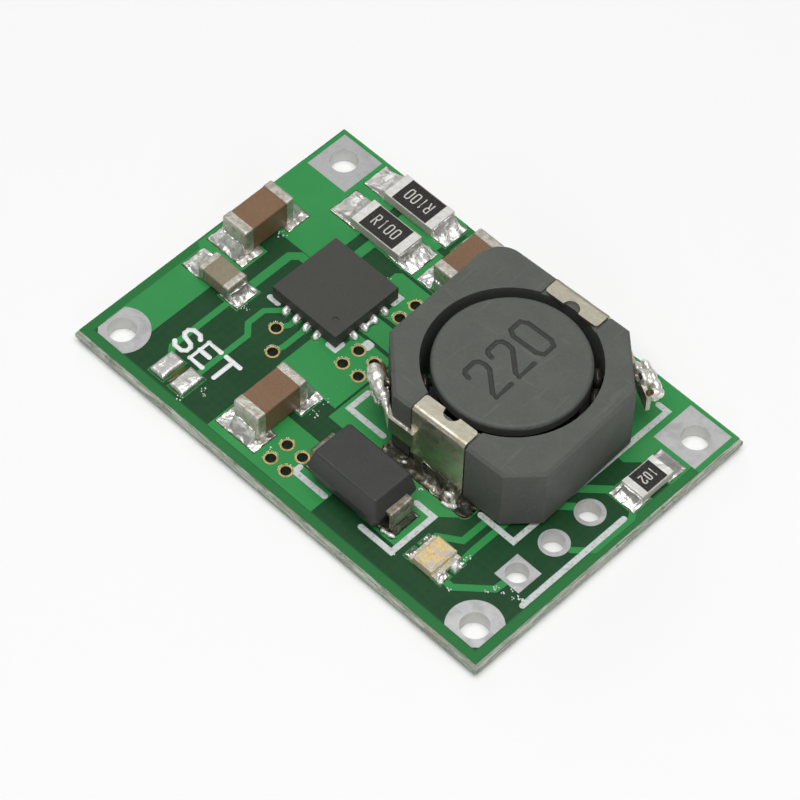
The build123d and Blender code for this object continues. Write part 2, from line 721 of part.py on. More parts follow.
def drum_core():
    """Ferrite spool: two flanges on a post."""
    top = CLIP_T + RING_H + DRUM_PROUD
    outer = DRUM_D / 2
    post = DRUM_POST_D / 2
    low = CLIP_T + DRUM_FLANGE_T
    high = top - DRUM_FLANGE_T
    profile = make_face(Polyline(
        (0, 0, CLIP_T), (outer, 0, CLIP_T), (outer, 0, low), (post, 0, low), (post, 0, high),
        (outer, 0, high), (outer, 0, top), (0, 0, top), close=True))
    spool = revolve(profile, Axis.Z)
    rim = spool.edges().filter_by(GeomType.CIRCLE).sort_by(Axis.Z)[-1]
    return fillet(rim, DRUM_RIM_R)


def wire_end(turn, spring):
    """End of the winding's wire, out from the coil to the sprung strap at a large corner."""
    gap = RING_BIG_CORNER / math.sqrt(2) * math.tan(math.radians(spring))
    far = corner_face() + gap + CLIP_T / 2
    near = WINDING_D / 2 - WIRE_D
    rod = Rotation(0, 90, 0) * Cylinder(WIRE_D / 2, far - near)
    return Rotation(0, 0, turn) * Pos((near + far) / 2, 0, wire_height()) * rod


def winding():
    """Wire wound on the post in touching turns, with both ends led out at the large corners."""
    low = CLIP_T + DRUM_FLANGE_T
    room = RING_H + DRUM_PROUD - 2 * DRUM_FLANGE_T
    turns = int(room / WIRE_D)
    radius = room / turns / 2
    outer = WINDING_D / 2
    wall = outer - radius
    post = DRUM_POST_D / 2
    edge = Line((post, 0, low), (wall, 0, low))
    for number in range(turns):
        z = low + 2 * radius * number
        edge += ThreePointArc((wall, 0, z), (outer, 0, z + radius), (wall, 0, z + 2 * radius))
    edge += Polyline((wall, 0, low + room), (post, 0, low + room), (post, 0, low))
    coil = revolve(make_face(edge), Axis.Z)
    return merged([coil, wire_end(45, REAR_STRAP_SPRING), wire_end(225, FRONT_STRAP_SPRING)])


def strap_corner():
    """Point on the front side of the shield where the front strap turns off."""
    return Vector(RING_BIG_CORNER - RING_LENGTH / 2, -coil_side_y())


def strap(spring):
    """Strap of a clip, from its leg along the shield's side and out past its large corner."""
    turn = math.radians(135 + spring)
    along = Vector(math.cos(turn), math.sin(turn))
    outward = Vector(-math.sin(turn), math.cos(turn)) * CLIP_T
    corner = strap_corner()
    tip = corner + along * STRAP_LENGTH
    shift = CLIP_T * math.tan(math.radians(45 - spring) / 2)
    root = -CLIP_W / 2 + STRAP_LAP
    outer_y = corner.Y - CLIP_T
    face = make_face(Polyline(
        (root, corner.Y), corner, tip, tip + outward, (corner.X - shift, outer_y),
        (root, outer_y), close=True))
    return slab(face, STRAP_LOW, STRAP_LOW + STRAP_H)


def clip(spring):
    """Bent sheet clip on the front side: tab, leg, foot and strap."""
    side = coil_side_y()
    top = CLIP_T + RING_H - CLIP_POCKET
    roof = top + CLIP_T
    profile = make_face(Polyline(
        (0, -side + CLIP_FOOT, 0), (0, -side, 0), (0, -side, roof), (0, -side + CLIP_TAB, roof),
        (0, -side + CLIP_TAB, top), (0, -side + CLIP_T, top), (0, -side + CLIP_T, CLIP_T),
        (0, -side + CLIP_FOOT, CLIP_T), close=True))
    sheet = extrude(profile, amount=CLIP_W / 2, both=True)
    bends = sheet.edges().filter_by(Axis.X).filter_by(
        lambda edge: abs(edge.center().Y + side) < CLIP_T / 4)
    sheet = fillet(bends, CLIP_BEND_R)
    tips = sheet.edges().filter_by(Axis.Z).filter_by(
        lambda edge: edge.center().Z > top and edge.center().Y > -side + CLIP_TAB / 2)
    sheet = fillet(tips, CLIP_CORNER_R)
    sheet -= Pos(0, -side + CLIP_TAB, roof) * Cylinder(CLIP_NOTCH_R, 4 * CLIP_T)
    return sheet + strap(spring)


def strap_solder(spring):
    """Bead of solder along the end of a strap and over the wire end above it."""
    strap_top = STRAP_LOW + STRAP_H
    low = Vector(0, -CLIP_T, STRAP_LOW + BEAD_T / 4)
    high = Vector(0, 0, strap_top + WIRE_D + BEAD_RISE)
    belly = Vector(0, -CLIP_T - BEAD_T, (low.Z + high.Z) / 2)
    profile = make_face([
        ThreePointArc(low, belly, high),
        Polyline(high, (0, 0, strap_top), (0, -CLIP_T, strap_top), low)])
    bead = extrude(profile, amount=BEAD_LENGTH / 2, both=True)
    ends = bead.edges().filter_by(GeomType.CIRCLE)
    middle = Pos(BEAD_LENGTH / 2 - STRAP_LENGTH, 0, 0)
    bead = Pos(strap_corner()) * Rotation(0, 0, spring - 45) * middle * fillet(ends, BEAD_T / 4)
    return bead - wire_end(225, spring)


def foot_solder():
    """Solder on both inductor pads and up both clips."""
    base = coil_base()
    wedge = fillet_solder(CLIP_BEND_R + 0.45, COIL_PAD_TOE * 0.8, CLIP_W, CLIP_T / 2)
    springs = (FRONT_STRAP_SPRING, REAR_STRAP_SPRING)
    joints = []
    for turn, spring, pad in zip((0, 180), springs, coil_pads()):
        place = base * Rotation(0, 0, turn) * Pos(0, -coil_side_y(), 0) * Rotation(0, 0, -90)
        cut = base * Rotation(0, 0, turn) * clip(spring)
        joints.append(pad_solder(pad) + (place * wedge - cut))
    return joints


def build_inductor():
    """Write the inductor's pieces."""
    base = coil_base()
    turned = base * Rotation(0, 0, 180)
    save("inductor_shield", [base * shield_ring()])
    save("inductor_drum", [base * drum_core()])
    save("inductor_winding", [base * winding()])
    save("inductor_front_clip", [base * clip(FRONT_STRAP_SPRING)])
    save("inductor_rear_clip", [turned * clip(REAR_STRAP_SPRING)])
    save("inductor_strap_solder", [base * strap_solder(FRONT_STRAP_SPRING),
                                   turned * strap_solder(REAR_STRAP_SPRING)])
    save("inductor_solder", foot_solder())


# Diode

def diode_body():
    """Moulded body with drafted upper and lower halves and soft edges."""
    low = DIODE_LEAD_T + 0.02
    waist = RectangleRounded(DIODE_LENGTH, DIODE_WIDTH, DIODE_ROUND)
    lid = RectangleRounded(DIODE_LENGTH - 2 * DIODE_DRAFT_END,
                           DIODE_WIDTH - 2 * DIODE_DRAFT_SIDE, DIODE_ROUND)
    upper = loft([Pos(0, 0, PARTING_H) * waist, Pos(0, 0, DIODE_H) * lid])
    lower = loft([Pos(0, 0, low) * lid, Pos(0, 0, PARTING_H) * waist])
    rim = upper.faces().sort_by(Axis.Z)[-1].edges()
    return fillet(rim, DIODE_RIM_R) + lower


def diode_lead():
    """Bent lead at the right-hand end, from the parting line down and under the body."""
    end = DIODE_LENGTH / 2
    out = end + DIODE_LEAD_OUT
    high = PARTING_H + DIODE_LEAD_T
    profile = make_face(Polyline(
        (end - 0.1, 0, PARTING_H), (out - DIODE_LEAD_T, 0, PARTING_H),
        (out - DIODE_LEAD_T, 0, DIODE_LEAD_T), (out - DIODE_LEAD_FOOT, 0, DIODE_LEAD_T),
        (out - DIODE_LEAD_FOOT, 0, 0), (out, 0, 0), (out, 0, high), (end - 0.1, 0, high),
        close=True))
    lead = extrude(profile, amount=DIODE_LEAD_W / 2, both=True)
    bends = lead.edges().filter_by(Axis.Y).filter_by(
        lambda edge: abs(edge.center().X - out) < DIODE_LEAD_T / 4)
    return fillet(bends, DIODE_LEAD_T * 0.9)


def build_diode():
    """Write the diode's pieces."""
    base = spot(DIODE_X, DIODE_Y, SEAT)
    body = diode_body()
    lead = diode_lead()
    leads = [lead, Rotation(0, 0, 180) * lead]
    lead_ends = [piece - body for piece in leads]
    out = DIODE_LENGTH / 2 + DIODE_LEAD_OUT
    back = DIODE_LEAD_T / 2
    wedge = Pos(out, 0, 0) * fillet_solder(0.5, DIODE_PAD_TOE * 0.94, DIODE_LEAD_W, back)
    joints = []
    for turn, pad in zip((180, 0), diode_pads()):
        joints.append(pad_solder(pad) + base * Rotation(0, 0, turn) * (wedge - lead))
    save("diode_body", [base * body])
    save("diode_cathode_lead", [base * lead_ends[0]])
    save("diode_anode_lead", [base * lead_ends[1]])
    save("diode_solder", joints)


# Lamp

def build_lamp():
    """Write the lamp's base, terminals, lens and solder."""
    base = spot(LAMP_X, LAMP_Y, SEAT)
    board = Pos(0, 0, LAMP_BASE_H / 2) * Box(LAMP_SIDE, LAMP_SIDE, LAMP_BASE_H)
    reach = (LAMP_SIDE - LAMP_END_LENGTH) / 2
    ends = []
    joints = []
    wedge = fillet_solder(LAMP_BASE_H, LAMP_PAD_TOE * 0.94, LAMP_END_WIDTH)
    corners = [(across, along) for across in (-1, 1) for along in (-1, 1)]
    for (across, along), pad in zip(corners, lamp_pads()):
        y = along * LAMP_END_PITCH / 2
        spin = Rotation(0, 0, 90 - 90 * across)
        block = Pos(across * reach, y, 0) * spin * lamp_end()
        ends.append(block)
        joints.append(pad_solder(pad)
                      + base * Pos(across * LAMP_SIDE / 2, y, 0) * spin * wedge)
    lens = Pos(0, 0, LAMP_BASE_H + LAMP_LENS_H / 2) * Box(
        LAMP_LENS_LENGTH, LAMP_SIDE, LAMP_LENS_H)
    lens = chamfer(lens.faces().sort_by(Axis.Z)[-1].edges(), LAMP_LENS_BEVEL)
    save("lamp_base", [base * (board - ends)])
    save("lamp_ends", [base * end for end in ends])
    save("lamp_lens", [base * lens])
    save("lamp_solder", joints)


def lamp_end():
    """Metal wrap at one edge of the lamp's base, local x pointing outwards."""
    block = Pos(0, 0, LAMP_BASE_H / 2) * Box(LAMP_END_LENGTH, LAMP_END_WIDTH, LAMP_BASE_H)
    core = Pos(-METAL_T, 0, LAMP_BASE_H / 2) * Box(
        LAMP_END_LENGTH, LAMP_END_WIDTH, LAMP_BASE_H - 2 * METAL_T)
    return block - core


# Solder bridge

def build_bridge():
    """Write the two domes of solder on the bridge pads."""
    domes = []
    for pad in bridge_pads():
        dome = slab(pad, COPPER_TOP, SEAT + BRIDGE_DOME_H)
        rim = dome.faces().sort_by(Axis.Z)[-1].edges()
        domes.append(fillet(rim, BRIDGE_DOME_H * 0.9))
    save("bridge_solder", domes)


def main():
    """Write every node."""
    os.makedirs("parts", exist_ok=True)
    build_board()
    build_chips()
    build_controller()
    build_inductor()
    build_diode()
    build_lamp()
    build_bridge()


main()
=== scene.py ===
"""Battery charger module, dressed for its portrait.

The board, its chips, the shielded inductor and the lamp come from the solid model. This script
gives every one of them its finish, adds the printed characters, the lumpy skin of the solder, the
glass fringe of the snapped edges, white specks of painted highlight, dark painted shade in the
inductor's notches and strap hollows, the lamp's inside, and sets up floor, light and camera.

Lengths are in millimetres until a mesh is made, which is in metres. Angles are in degrees.
"""
from __future__ import annotations

import logging
import math
import random
from dataclasses import dataclass, field
from enum import Enum
from typing import ClassVar, Sequence, Union

import bmesh
import bpy
from mathutils import Matrix, Vector

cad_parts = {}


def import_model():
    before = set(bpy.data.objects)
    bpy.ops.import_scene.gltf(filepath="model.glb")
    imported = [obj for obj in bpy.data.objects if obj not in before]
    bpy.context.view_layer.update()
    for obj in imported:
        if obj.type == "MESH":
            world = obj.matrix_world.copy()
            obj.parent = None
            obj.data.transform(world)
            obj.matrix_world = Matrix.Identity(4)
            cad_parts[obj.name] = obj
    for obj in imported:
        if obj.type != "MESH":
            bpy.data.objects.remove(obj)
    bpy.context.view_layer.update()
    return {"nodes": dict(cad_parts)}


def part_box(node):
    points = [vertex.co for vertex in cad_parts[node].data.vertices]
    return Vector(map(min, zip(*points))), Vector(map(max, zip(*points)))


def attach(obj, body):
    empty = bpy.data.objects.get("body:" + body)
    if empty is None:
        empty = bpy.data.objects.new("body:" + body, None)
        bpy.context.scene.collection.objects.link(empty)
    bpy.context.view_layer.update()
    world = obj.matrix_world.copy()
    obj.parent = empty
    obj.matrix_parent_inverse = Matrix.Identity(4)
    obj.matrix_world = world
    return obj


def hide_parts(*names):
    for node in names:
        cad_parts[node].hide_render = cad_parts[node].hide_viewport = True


LOG = logging.getLogger("charger_module")
MM = 0.001

Socket = bpy.types.NodeSocket
Colour = tuple[float, float, float, float]
Feed = Union[Socket, float, tuple, Vector]
Inputs = Union[dict[str, Feed], None]
Path = list[tuple[float, float]]
Lump = tuple[float, float, float, float, float, float]


def paint(red: int, green: int, blue: int) -> Colour:
    """Turn a colour as the eye reads it into the linear colour of a shader.

    Args:
        red: Red, 0 to 255.
        green: Green, 0 to 255.
        blue: Blue, 0 to 255.

    Returns:
        Linear red, green, blue and a full alpha.
    """
    shares = (channel / 255 for channel in (red, green, blue))
    linear = [s / 12.92 if s <= 0.04045 else ((s + 0.055) / 1.055) ** 2.4 for s in shares]
    return (*linear, 1.0)


def by_identifier(sockets: Sequence[Socket], identifier: str) -> Socket:
    """Find a socket among others of the same name.

    Args:
        sockets: A node's inputs or outputs.
        identifier: Blender's identifier of the socket.

    Returns:
        The socket.
    """
    return next(socket for socket in sockets if socket.identifier == identifier)


# Node sheets


class Sheet:
    """Short calls for laying out one node tree."""

    def __init__(self, tree: bpy.types.NodeTree) -> None:
        """Keep the tree that the calls write to."""
        self.tree = tree

    def feed(self, socket: Socket, value: Feed) -> None:
        """Link a socket to another, or set its plain value.

        Args:
            socket: The input that is fed.
            value: An output socket, or a number, colour or vector.
        """
        if isinstance(value, bpy.types.NodeSocket):
            self.tree.links.new(value, socket)
        else:
            socket.default_value = value

    def add(self, kind: str, *values: Feed, named: Inputs = None,
            **settings: object) -> bpy.types.Node:
        """Add a node and feed its inputs.

        Args:
            kind: Blender's name of the node's type.
            *values: What its first inputs are fed with, in order.
            named: What other inputs are fed with, by the input's name.
            **settings: Attributes to set on the node.

        Returns:
            The new node.
        """
        node = self.tree.nodes.new(kind)
        for name, value in settings.items():
            setattr(node, name, value)
        for socket, value in zip(node.inputs, values):
            self.feed(socket, value)
        for name, value in (named or {}).items():
            self.feed(node.inputs[name], value)
        return node

    def result(self, kind: str, *values: Feed, named: Inputs = None,
               **settings: object) -> Socket:
        """Add a node and give its first output.

        Args:
            kind: Blender's name of the node's type.
            *values: What its first inputs are fed with, in order.
            named: What other inputs are fed with, by the input's name.
            **settings: Attributes to set on the node.

        Returns:
            The node's first output.
        """
        return self.add(kind, *values, named=named, **settings).outputs[0]

    def calc(self, operation: str, first: Feed, second: Feed = 0.0, third: Feed = 0.0) -> Socket:
        """Work out one number.

        Args:
            operation: Blender's name of the operation.
            first: First operand.
            second: Second operand.
            third: Third operand.

        Returns:
            The socket with the result.
        """
        return self.result("ShaderNodeMath", first, second, third, operation=operation)

    def vector(self, operation: str, *values: Feed) -> Socket:
        """Work out one vector from up to three.

        Args:
            operation: Blender's name of the operation.
            *values: The operands.

        Returns:
            The socket with the result.
        """
        return self.result("ShaderNodeVectorMath", *values, operation=operation)

    def span(self, value: Feed, low: Feed, high: Feed, start: Feed = 0.0,
             end: Feed = 1.0) -> Socket:
        """Map a number smoothly from one span to another, held at both ends.

        Args:
            value: The number.
            low: Where the first span starts.
            high: Where the first span ends.
            start: Result at and below the start.
            end: Result at and above the end.

        Returns:
            The socket with the result.
        """
        return self.result("ShaderNodeMapRange", value, low, high, start, end,
                           interpolation_type="SMOOTHSTEP")

    def mix(self, share: Feed, first: Feed, second: Feed) -> Socket:
        """Mix two colours.

        Args:
            share: How much of the second colour.
            first: First colour.
            second: Second colour.

        Returns:
            The socket with the mixed colour.
        """
        return self._mix("RGBA", "Color", share, first, second)

    def halfway(self, first: Feed, second: Feed) -> Socket:
        """Give the point halfway between two.

        Args:
            first: One point.
            second: The other point.

        Returns:
            The socket with the middle.
        """
        return self._mix("VECTOR", "Vector", 0.5, first, second)

    def _mix(self, kind: str, label: str, share: Feed, first: Feed, second: Feed) -> Socket:
        """Mix two colours or vectors.

        Args:
            kind: Blender's name of what is mixed.
            label: How the identifiers of its sockets end.
            share: How much of the second.
            first: The first.
            second: The second.

        Returns:
            The socket with the mix.
        """
        node = self.add("ShaderNodeMix", share, data_type=kind)
        self.feed(by_identifier(node.inputs, f"A_{label}"), first)
        self.feed(by_identifier(node.inputs, f"B_{label}"), second)
        return by_identifier(node.outputs, f"Result_{label}")

    def noise(self, place: Feed, scale: Feed, detail: float = 2.0, distortion: float = 0.0,
              rough: float = 0.5) -> Socket:
        """Soft noise.

        Args:
            place: Where it is read.
            scale: Its repeats per millimetre.
            detail: How many finer layers it has.
            distortion: How far it is swirled.
            rough: How strong the finer layers are.

        Returns:
            The socket with the noise, about 0.5 on average.
        """
        return self.result("ShaderNodeTexNoise", named={
            "Vector": place, "Scale": scale, "Detail": detail, "Roughness": rough,
            "Distortion": distortion})

    def cells(self, place: Feed, scale: Feed) -> Socket:
        """Distance to the nearest of many scattered points.

        Args:
            place: Where it is read.
            scale: Points per millimetre.

        Returns:
            The socket with the distance.
        """
        return self.result("ShaderNodeTexVoronoi", named={"Vector": place, "Scale": scale})

    def stretch(self, place: Feed, factors: tuple[float, float, float]) -> Socket:
        """Scale a place differently along its axes.

        Args:
            place: The place.
            factors: One factor for each axis.

        Returns:
            The socket with the scaled place.
        """
        return self.vector("MULTIPLY", place, factors)

    def axes(self, place: Feed) -> tuple[Socket, ...]:
        """Split a place into x, y and z.

        Args:
            place: The place.

        Returns:
            The three sockets.
        """
        return tuple(self.add("ShaderNodeSeparateXYZ", place).outputs)

    def join_axes(self, x: Feed, y: Feed, z: Feed) -> Socket:
        """Put x, y and z together.

        Args:
            x: First axis.
            y: Second axis.
            z: Third axis.

        Returns:
            The socket with the place.
        """
        return self.result("ShaderNodeCombineXYZ", x, y, z)

    def here(self) -> Socket:
        """Give each point's own place in a geometry tree."""
        return self.result("GeometryNodeInputPosition")

    def move(self, geometry: Socket, place: Socket) -> Socket:
        """Move points to a place.

        Args:
            geometry: What is moved.
            place: Where each point goes.

        Returns:
            The moved geometry.
        """
        return self.result("GeometryNodeSetPosition",
                           named={"Geometry": geometry, "Position": place})

    def join(self, shapes: Sequence[Socket]) -> Socket:
        """Join geometries.

        Args:
            shapes: The geometries.

        Returns:
            The joined geometry.
        """
        node = self.add("GeometryNodeJoinGeometry")
        for shape in shapes:
            self.feed(node.inputs[0], shape)
        return node.outputs[0]


class Effect(Enum):
    """Shader effects that several finishes share."""

    GRAIN = "Fine grain"
    BLOTCH = "Blotches"
    SCUFF = "Scuffs"


class EffectShelf:
    """Builds each shared shader group once and hands it out."""

    def __init__(self) -> None:
        """Start with no group made."""
        self.groups: dict[Effect, bpy.types.NodeTree] = {}

    def get(self, effect: Effect) -> bpy.types.NodeTree:
        """Give the group of one effect.

        Args:
            effect: The effect.

        Returns:
            Its node group.
        """
        if effect not in self.groups:
            makers = {Effect.GRAIN: self._grain, Effect.BLOTCH: self._blotch,
                      Effect.SCUFF: self._scuff}
            self.groups[effect] = makers[effect]()
        return self.groups[effect]

    def _new(self, effect: Effect, numbers: Sequence[str],
             outputs: Sequence[str]) -> tuple[Sheet, bpy.types.Node, bpy.types.Node]:
        """Start a group with a place input, number inputs and number outputs.

        Args:
            effect: The effect that the group makes.
            numbers: Names of its number inputs.
            outputs: Names of its outputs.

        Returns:
            The sheet, the input node and the output node.
        """
        tree = bpy.data.node_groups.new(effect.value, "ShaderNodeTree")
        tree.interface.new_socket("Place", in_out="INPUT", socket_type="NodeSocketVector")
        for name in numbers:
            tree.interface.new_socket(name, in_out="INPUT", socket_type="NodeSocketFloat")
        for name in outputs:
            tree.interface.new_socket(name, in_out="OUTPUT", socket_type="NodeSocketFloat")
        sheet = Sheet(tree)
        return sheet, sheet.add("NodeGroupInput"), sheet.add("NodeGroupOutput")

    def _grain(self) -> bpy.types.NodeTree:
        """Close grain of pressed, fired or sawn stuff: a tone and a height."""
        sheet, given, out = self._new(Effect.GRAIN, ("Per mm", "Speckle"), ("Tone", "Height"))
        place, rate, speckle = given.outputs[:3]
        soft = sheet.noise(place, rate, detail=3.0, rough=0.65)
        pits = sheet.span(sheet.cells(place, sheet.calc("MULTIPLY", rate, 0.6)), 0.05, 0.35)
        tone = sheet.calc("MULTIPLY_ADD", sheet.calc("SUBTRACT", 1.0, pits), speckle, soft)
        sheet.feed(out.inputs["Tone"], tone)
        sheet.feed(out.inputs["Height"], sheet.calc("MULTIPLY_ADD", pits, 0.6, soft))
        return sheet.tree

    def _blotch(self) -> bpy.types.NodeTree:
        """Patches with soft rims that cover about the given share."""
        sheet, given, out = self._new(Effect.BLOTCH, ("Per mm", "Cover", "Rim"), ("Mask",))
        place, rate, cover, rim = given.outputs[:4]
        cloud = sheet.noise(place, rate, detail=4.0, distortion=0.4, rough=0.55)
        middle = sheet.span(cover, 0.0, 1.0, 0.78, 0.22)
        low = sheet.calc("SUBTRACT", middle, rim)
        high = sheet.calc("ADD", middle, rim)
        sheet.feed(out.inputs["Mask"], sheet.span(cloud, low, high))
        return sheet.tree

    def _scuff(self) -> bpy.types.NodeTree:
        """Thin random rubbed lines in two directions."""
        sheet, given, out = self._new(Effect.SCUFF, ("Per mm", "Amount"), ("Mask",))
        place, rate, amount = given.outputs[:3]
        lines = []
        for factors in ((0.12, 1.0, 1.0), (1.0, 0.09, 1.0)):
            streak = sheet.noise(sheet.stretch(place, factors), rate, detail=1.0, distortion=0.3)
            lines.append(sheet.span(streak, 0.66, 0.74))
        both = sheet.calc("MAXIMUM", *lines)
        sheet.feed(out.inputs["Mask"], sheet.calc("MULTIPLY", both, amount))
        return sheet.tree


SHELF = EffectShelf()


class Surface:
    """One material while it is laid out: its sheet, its shader and its place in millimetres."""

    def __init__(self, name: str) -> None:
        """Start a material.

        Args:
            name: Name of the finish.
        """
        self.material = bpy.data.materials.new(name)
        self.material.use_nodes = True
        self.sheet = Sheet(self.material.node_tree)
        nodes = self.material.node_tree.nodes
        self.shader = next(node for node in nodes if node.type == "BSDF_PRINCIPLED")
        spot = self.sheet.add("ShaderNodeTexCoord").outputs["Object"]
        self.place = self.sheet.stretch(spot, (1 / MM, 1 / MM, 1 / MM))

    def effect(self, effect: Effect, **values: Feed) -> bpy.types.Node:
        """Place a shared effect.

        Args:
            effect: The effect.
            **values: Its inputs, with an underscore for each space.

        Returns:
            The group node.
        """
        inputs = {name.replace("_", " "): value for name, value in values.items()}
        return self.sheet.add("ShaderNodeGroup", named={"Place": self.place, **inputs},
                              node_tree=SHELF.get(effect))

    def blotch(self, per_mm: float, cover: float, rim: float) -> Socket:
        """Place the shared blotches.

        Args:
            per_mm: How close they are.
            cover: Share of the surface that they cover.
            rim: How soft their rims are.

        Returns:
            The socket with their mask.
        """
        return self.effect(Effect.BLOTCH, Per_mm=per_mm, Cover=cover, Rim=rim).outputs[0]

    def set(self, **values: Feed) -> None:
        """Feed the shader's sockets.

        Args:
            **values: Sockets by name, with an underscore for each space.
        """
        for name, value in values.items():
            self.sheet.feed(self.shader.inputs[name.replace("_", " ")], value)

    def relief(self, height: Feed, depth: float, under: Union[Socket, None] = None) -> Socket:
        """Bump the surface.

        Args:
            height: Height, 0 to 1.
            depth: Depth of the full height, in millimetres.
            under: Normal of a coarser relief below this one.

        Returns:
            The bumped normal.
        """
        inputs = {"Strength": 1.0, "Distance": depth * MM, "Height": height}
        if under is not None:
            inputs["Normal"] = under
        return self.sheet.result("ShaderNodeBump", named=inputs)


# Finishes


@dataclass(frozen=True)
class Finish:
    """A finish that can be made into a material."""

    name: str

    def make(self) -> bpy.types.Material:
        """Lay out the material and return it."""
        raise NotImplementedError


@dataclass(frozen=True)
class StoneFinish(Finish):
    """Fired, sintered or moulded stuff: a body colour with grain, speckles and rubbed spots."""

    body: Colour
    speck: Colour
    rubbed: Colour
    roughness: float
    grain_per_mm: float
    speckle: float
    depth: float
    rub: float = 0.25
    gloss: float = 0.4

    def make(self) -> bpy.types.Material:
        """Lay out the material and return it."""
        surface = Surface(self.name)
        sheet = surface.sheet
        grain = surface.effect(Effect.GRAIN, Per_mm=self.grain_per_mm, Speckle=self.speckle)
        cloud = surface.blotch(per_mm=0.9, cover=0.45, rim=0.2)
        scuff = surface.effect(Effect.SCUFF, Per_mm=5.0, Amount=self.rub)
        tone = sheet.span(grain.outputs["Tone"], 0.35, 0.95)
        colour = sheet.mix(tone, self.body, self.speck)
        colour = sheet.mix(sheet.calc("MULTIPLY", cloud, 0.22), colour, self.rubbed)
        colour = sheet.mix(scuff.outputs[0], colour, self.rubbed)
        rough = sheet.calc("MULTIPLY_ADD", tone, 0.12, self.roughness - 0.06)
        coarse = surface.relief(cloud, self.depth * 1.2)
        surface.set(Base_Color=colour, Roughness=rough, Specular_IOR_Level=self.gloss,
                    Normal=surface.relief(grain.outputs["Height"], self.depth, coarse))
        return surface.material


@dataclass(frozen=True)
class MetalFinish(Finish):
    """Plated, tinned or soldered metal: a bright skin with dull patches, dents and flux."""

    bright: Colour
    dull: Colour
    roughness: float
    patches_per_mm: float
    waviness: float
    grain_depth: float = 0.002
    flux: Colour = paint(98, 74, 38)
    patches_of_flux: float = 0.0
    rub: float = 0.2
    spread: float = 0.16
    # Colour painted on the hole walls, which also lose most of their metal: painted shade in the
    # vias, painted light in the terminal holes.
    painted_bore: Union[Colour, None] = None
    pits: float = 0.0
    shine: float = 1.0

    def make(self) -> bpy.types.Material:
        """Lay out the material and return it."""
        surface = Surface(self.name)
        sheet = surface.sheet
        patch = surface.blotch(per_mm=self.patches_per_mm, cover=0.45, rim=0.14)
        grain = surface.effect(Effect.GRAIN, Per_mm=14.0, Speckle=0.3)
        scuff = surface.effect(Effect.SCUFF, Per_mm=4.0, Amount=self.rub)
        colour = sheet.mix(patch, self.bright, self.dull)
        colour = sheet.mix(scuff.outputs[0], colour, self.dull)
        rough = sheet.calc("MULTIPLY_ADD", patch, self.spread, self.roughness)
        rough = sheet.calc("MULTIPLY_ADD", grain.outputs["Tone"], 0.08, rough)
        if self.pits:
            pit = surface.blotch(per_mm=7.0, cover=self.pits, rim=0.05)
            colour = sheet.mix(pit, colour, self.flux)
        metal: Feed = self.shine
        # Hole walls take the painted bore colour and lose most of their metal.
        if self.painted_bore is not None:
            upright = sheet.axes(sheet.add("ShaderNodeNewGeometry").outputs["True Normal"])[2]
            painted_wall = sheet.span(sheet.calc("ABSOLUTE", upright), 0.3, 0.7, 1.0, 0.0)
            colour = sheet.mix(painted_wall, colour, self.painted_bore)
            metal = sheet.calc("MULTIPLY_ADD", painted_wall, -0.8, 1.0)
        if self.patches_of_flux:
            film = surface.blotch(per_mm=1.3, cover=self.patches_of_flux, rim=0.05)
            colour = sheet.mix(sheet.calc("MULTIPLY", film, 0.8), colour, self.flux)
            metal = sheet.calc("MULTIPLY_ADD", film, -0.6 * self.shine, self.shine)
        swell = sheet.noise(surface.place, self.patches_per_mm * 1.3, detail=2.0, distortion=0.5)
        dents = surface.relief(swell, self.waviness)
        surface.set(Base_Color=colour, Roughness=rough, Metallic=metal,
                    Normal=surface.relief(grain.outputs["Height"], self.grain_depth, dents))
        return surface.material


@dataclass(frozen=True)
class LacquerFinish(Finish):
    """Green lacquer over copper and over bare laminate, lighter where light comes through.

    The step is the height that parts lacquer on bare laminate from lacquer on copper.
    """

    over_copper: Colour
    over_laminate: Colour
    see_through: Colour
    half_length: float
    half_width: float
    margin: float
    step: float

    def make(self) -> bpy.types.Material:
        """Lay out the material and return it."""
        surface = Surface(self.name)
        sheet = surface.sheet
        x, y, z = sheet.axes(surface.place)
        to_side = sheet.calc("SUBTRACT", self.half_length, sheet.calc("ABSOLUTE", x))
        to_end = sheet.calc("SUBTRACT", self.half_width, sheet.calc("ABSOLUTE", y))
        rim = sheet.calc("MINIMUM", to_side, to_end)
        glow = sheet.span(rim, self.margin - 0.06, self.margin + 0.1, 1.0, 0.0)
        raised = sheet.span(z, self.step - 0.004, self.step + 0.004)
        weave = sheet.calc("ADD", self._threads(surface, "X"), self._threads(surface, "Y"))
        mottle = surface.blotch(per_mm=0.7, cover=0.5, rim=0.25)
        low = sheet.mix(glow, self.over_laminate, self.see_through)
        low = sheet.mix(sheet.calc("MULTIPLY", weave, 0.03), low, self.see_through)
        colour = sheet.mix(raised, low, self.over_copper)
        colour = sheet.mix(sheet.calc("MULTIPLY", mottle, 0.10), colour, self.see_through)
        grain = surface.effect(Effect.GRAIN, Per_mm=5.0, Speckle=0.1)
        rough = sheet.calc("MULTIPLY_ADD", grain.outputs["Tone"], 0.16, 0.16)
        swell = sheet.noise(surface.place, 1.6, detail=2.0)
        flow = surface.relief(sheet.calc("MULTIPLY_ADD", weave, 0.15, swell), 0.006)
        surface.set(Base_Color=colour, Roughness=rough, Specular_IOR_Level=0.45,
                    Normal=surface.relief(grain.outputs["Height"], 0.0012, flow))
        return surface.material

    @staticmethod
    def _threads(surface: Surface, axis: str) -> Socket:
        """Give the faint glass threads along one axis.

        Args:
            surface: The material.
            axis: Axis along which the threads lie side by side.

        Returns:
            The socket with the thread pattern.
        """
        wave = surface.sheet.add("ShaderNodeTexWave", bands_direction=axis, named={
            "Vector": surface.place, "Scale": 0.75, "Distortion": 1.2, "Detail": 1.0})
        return wave.outputs["Fac"]


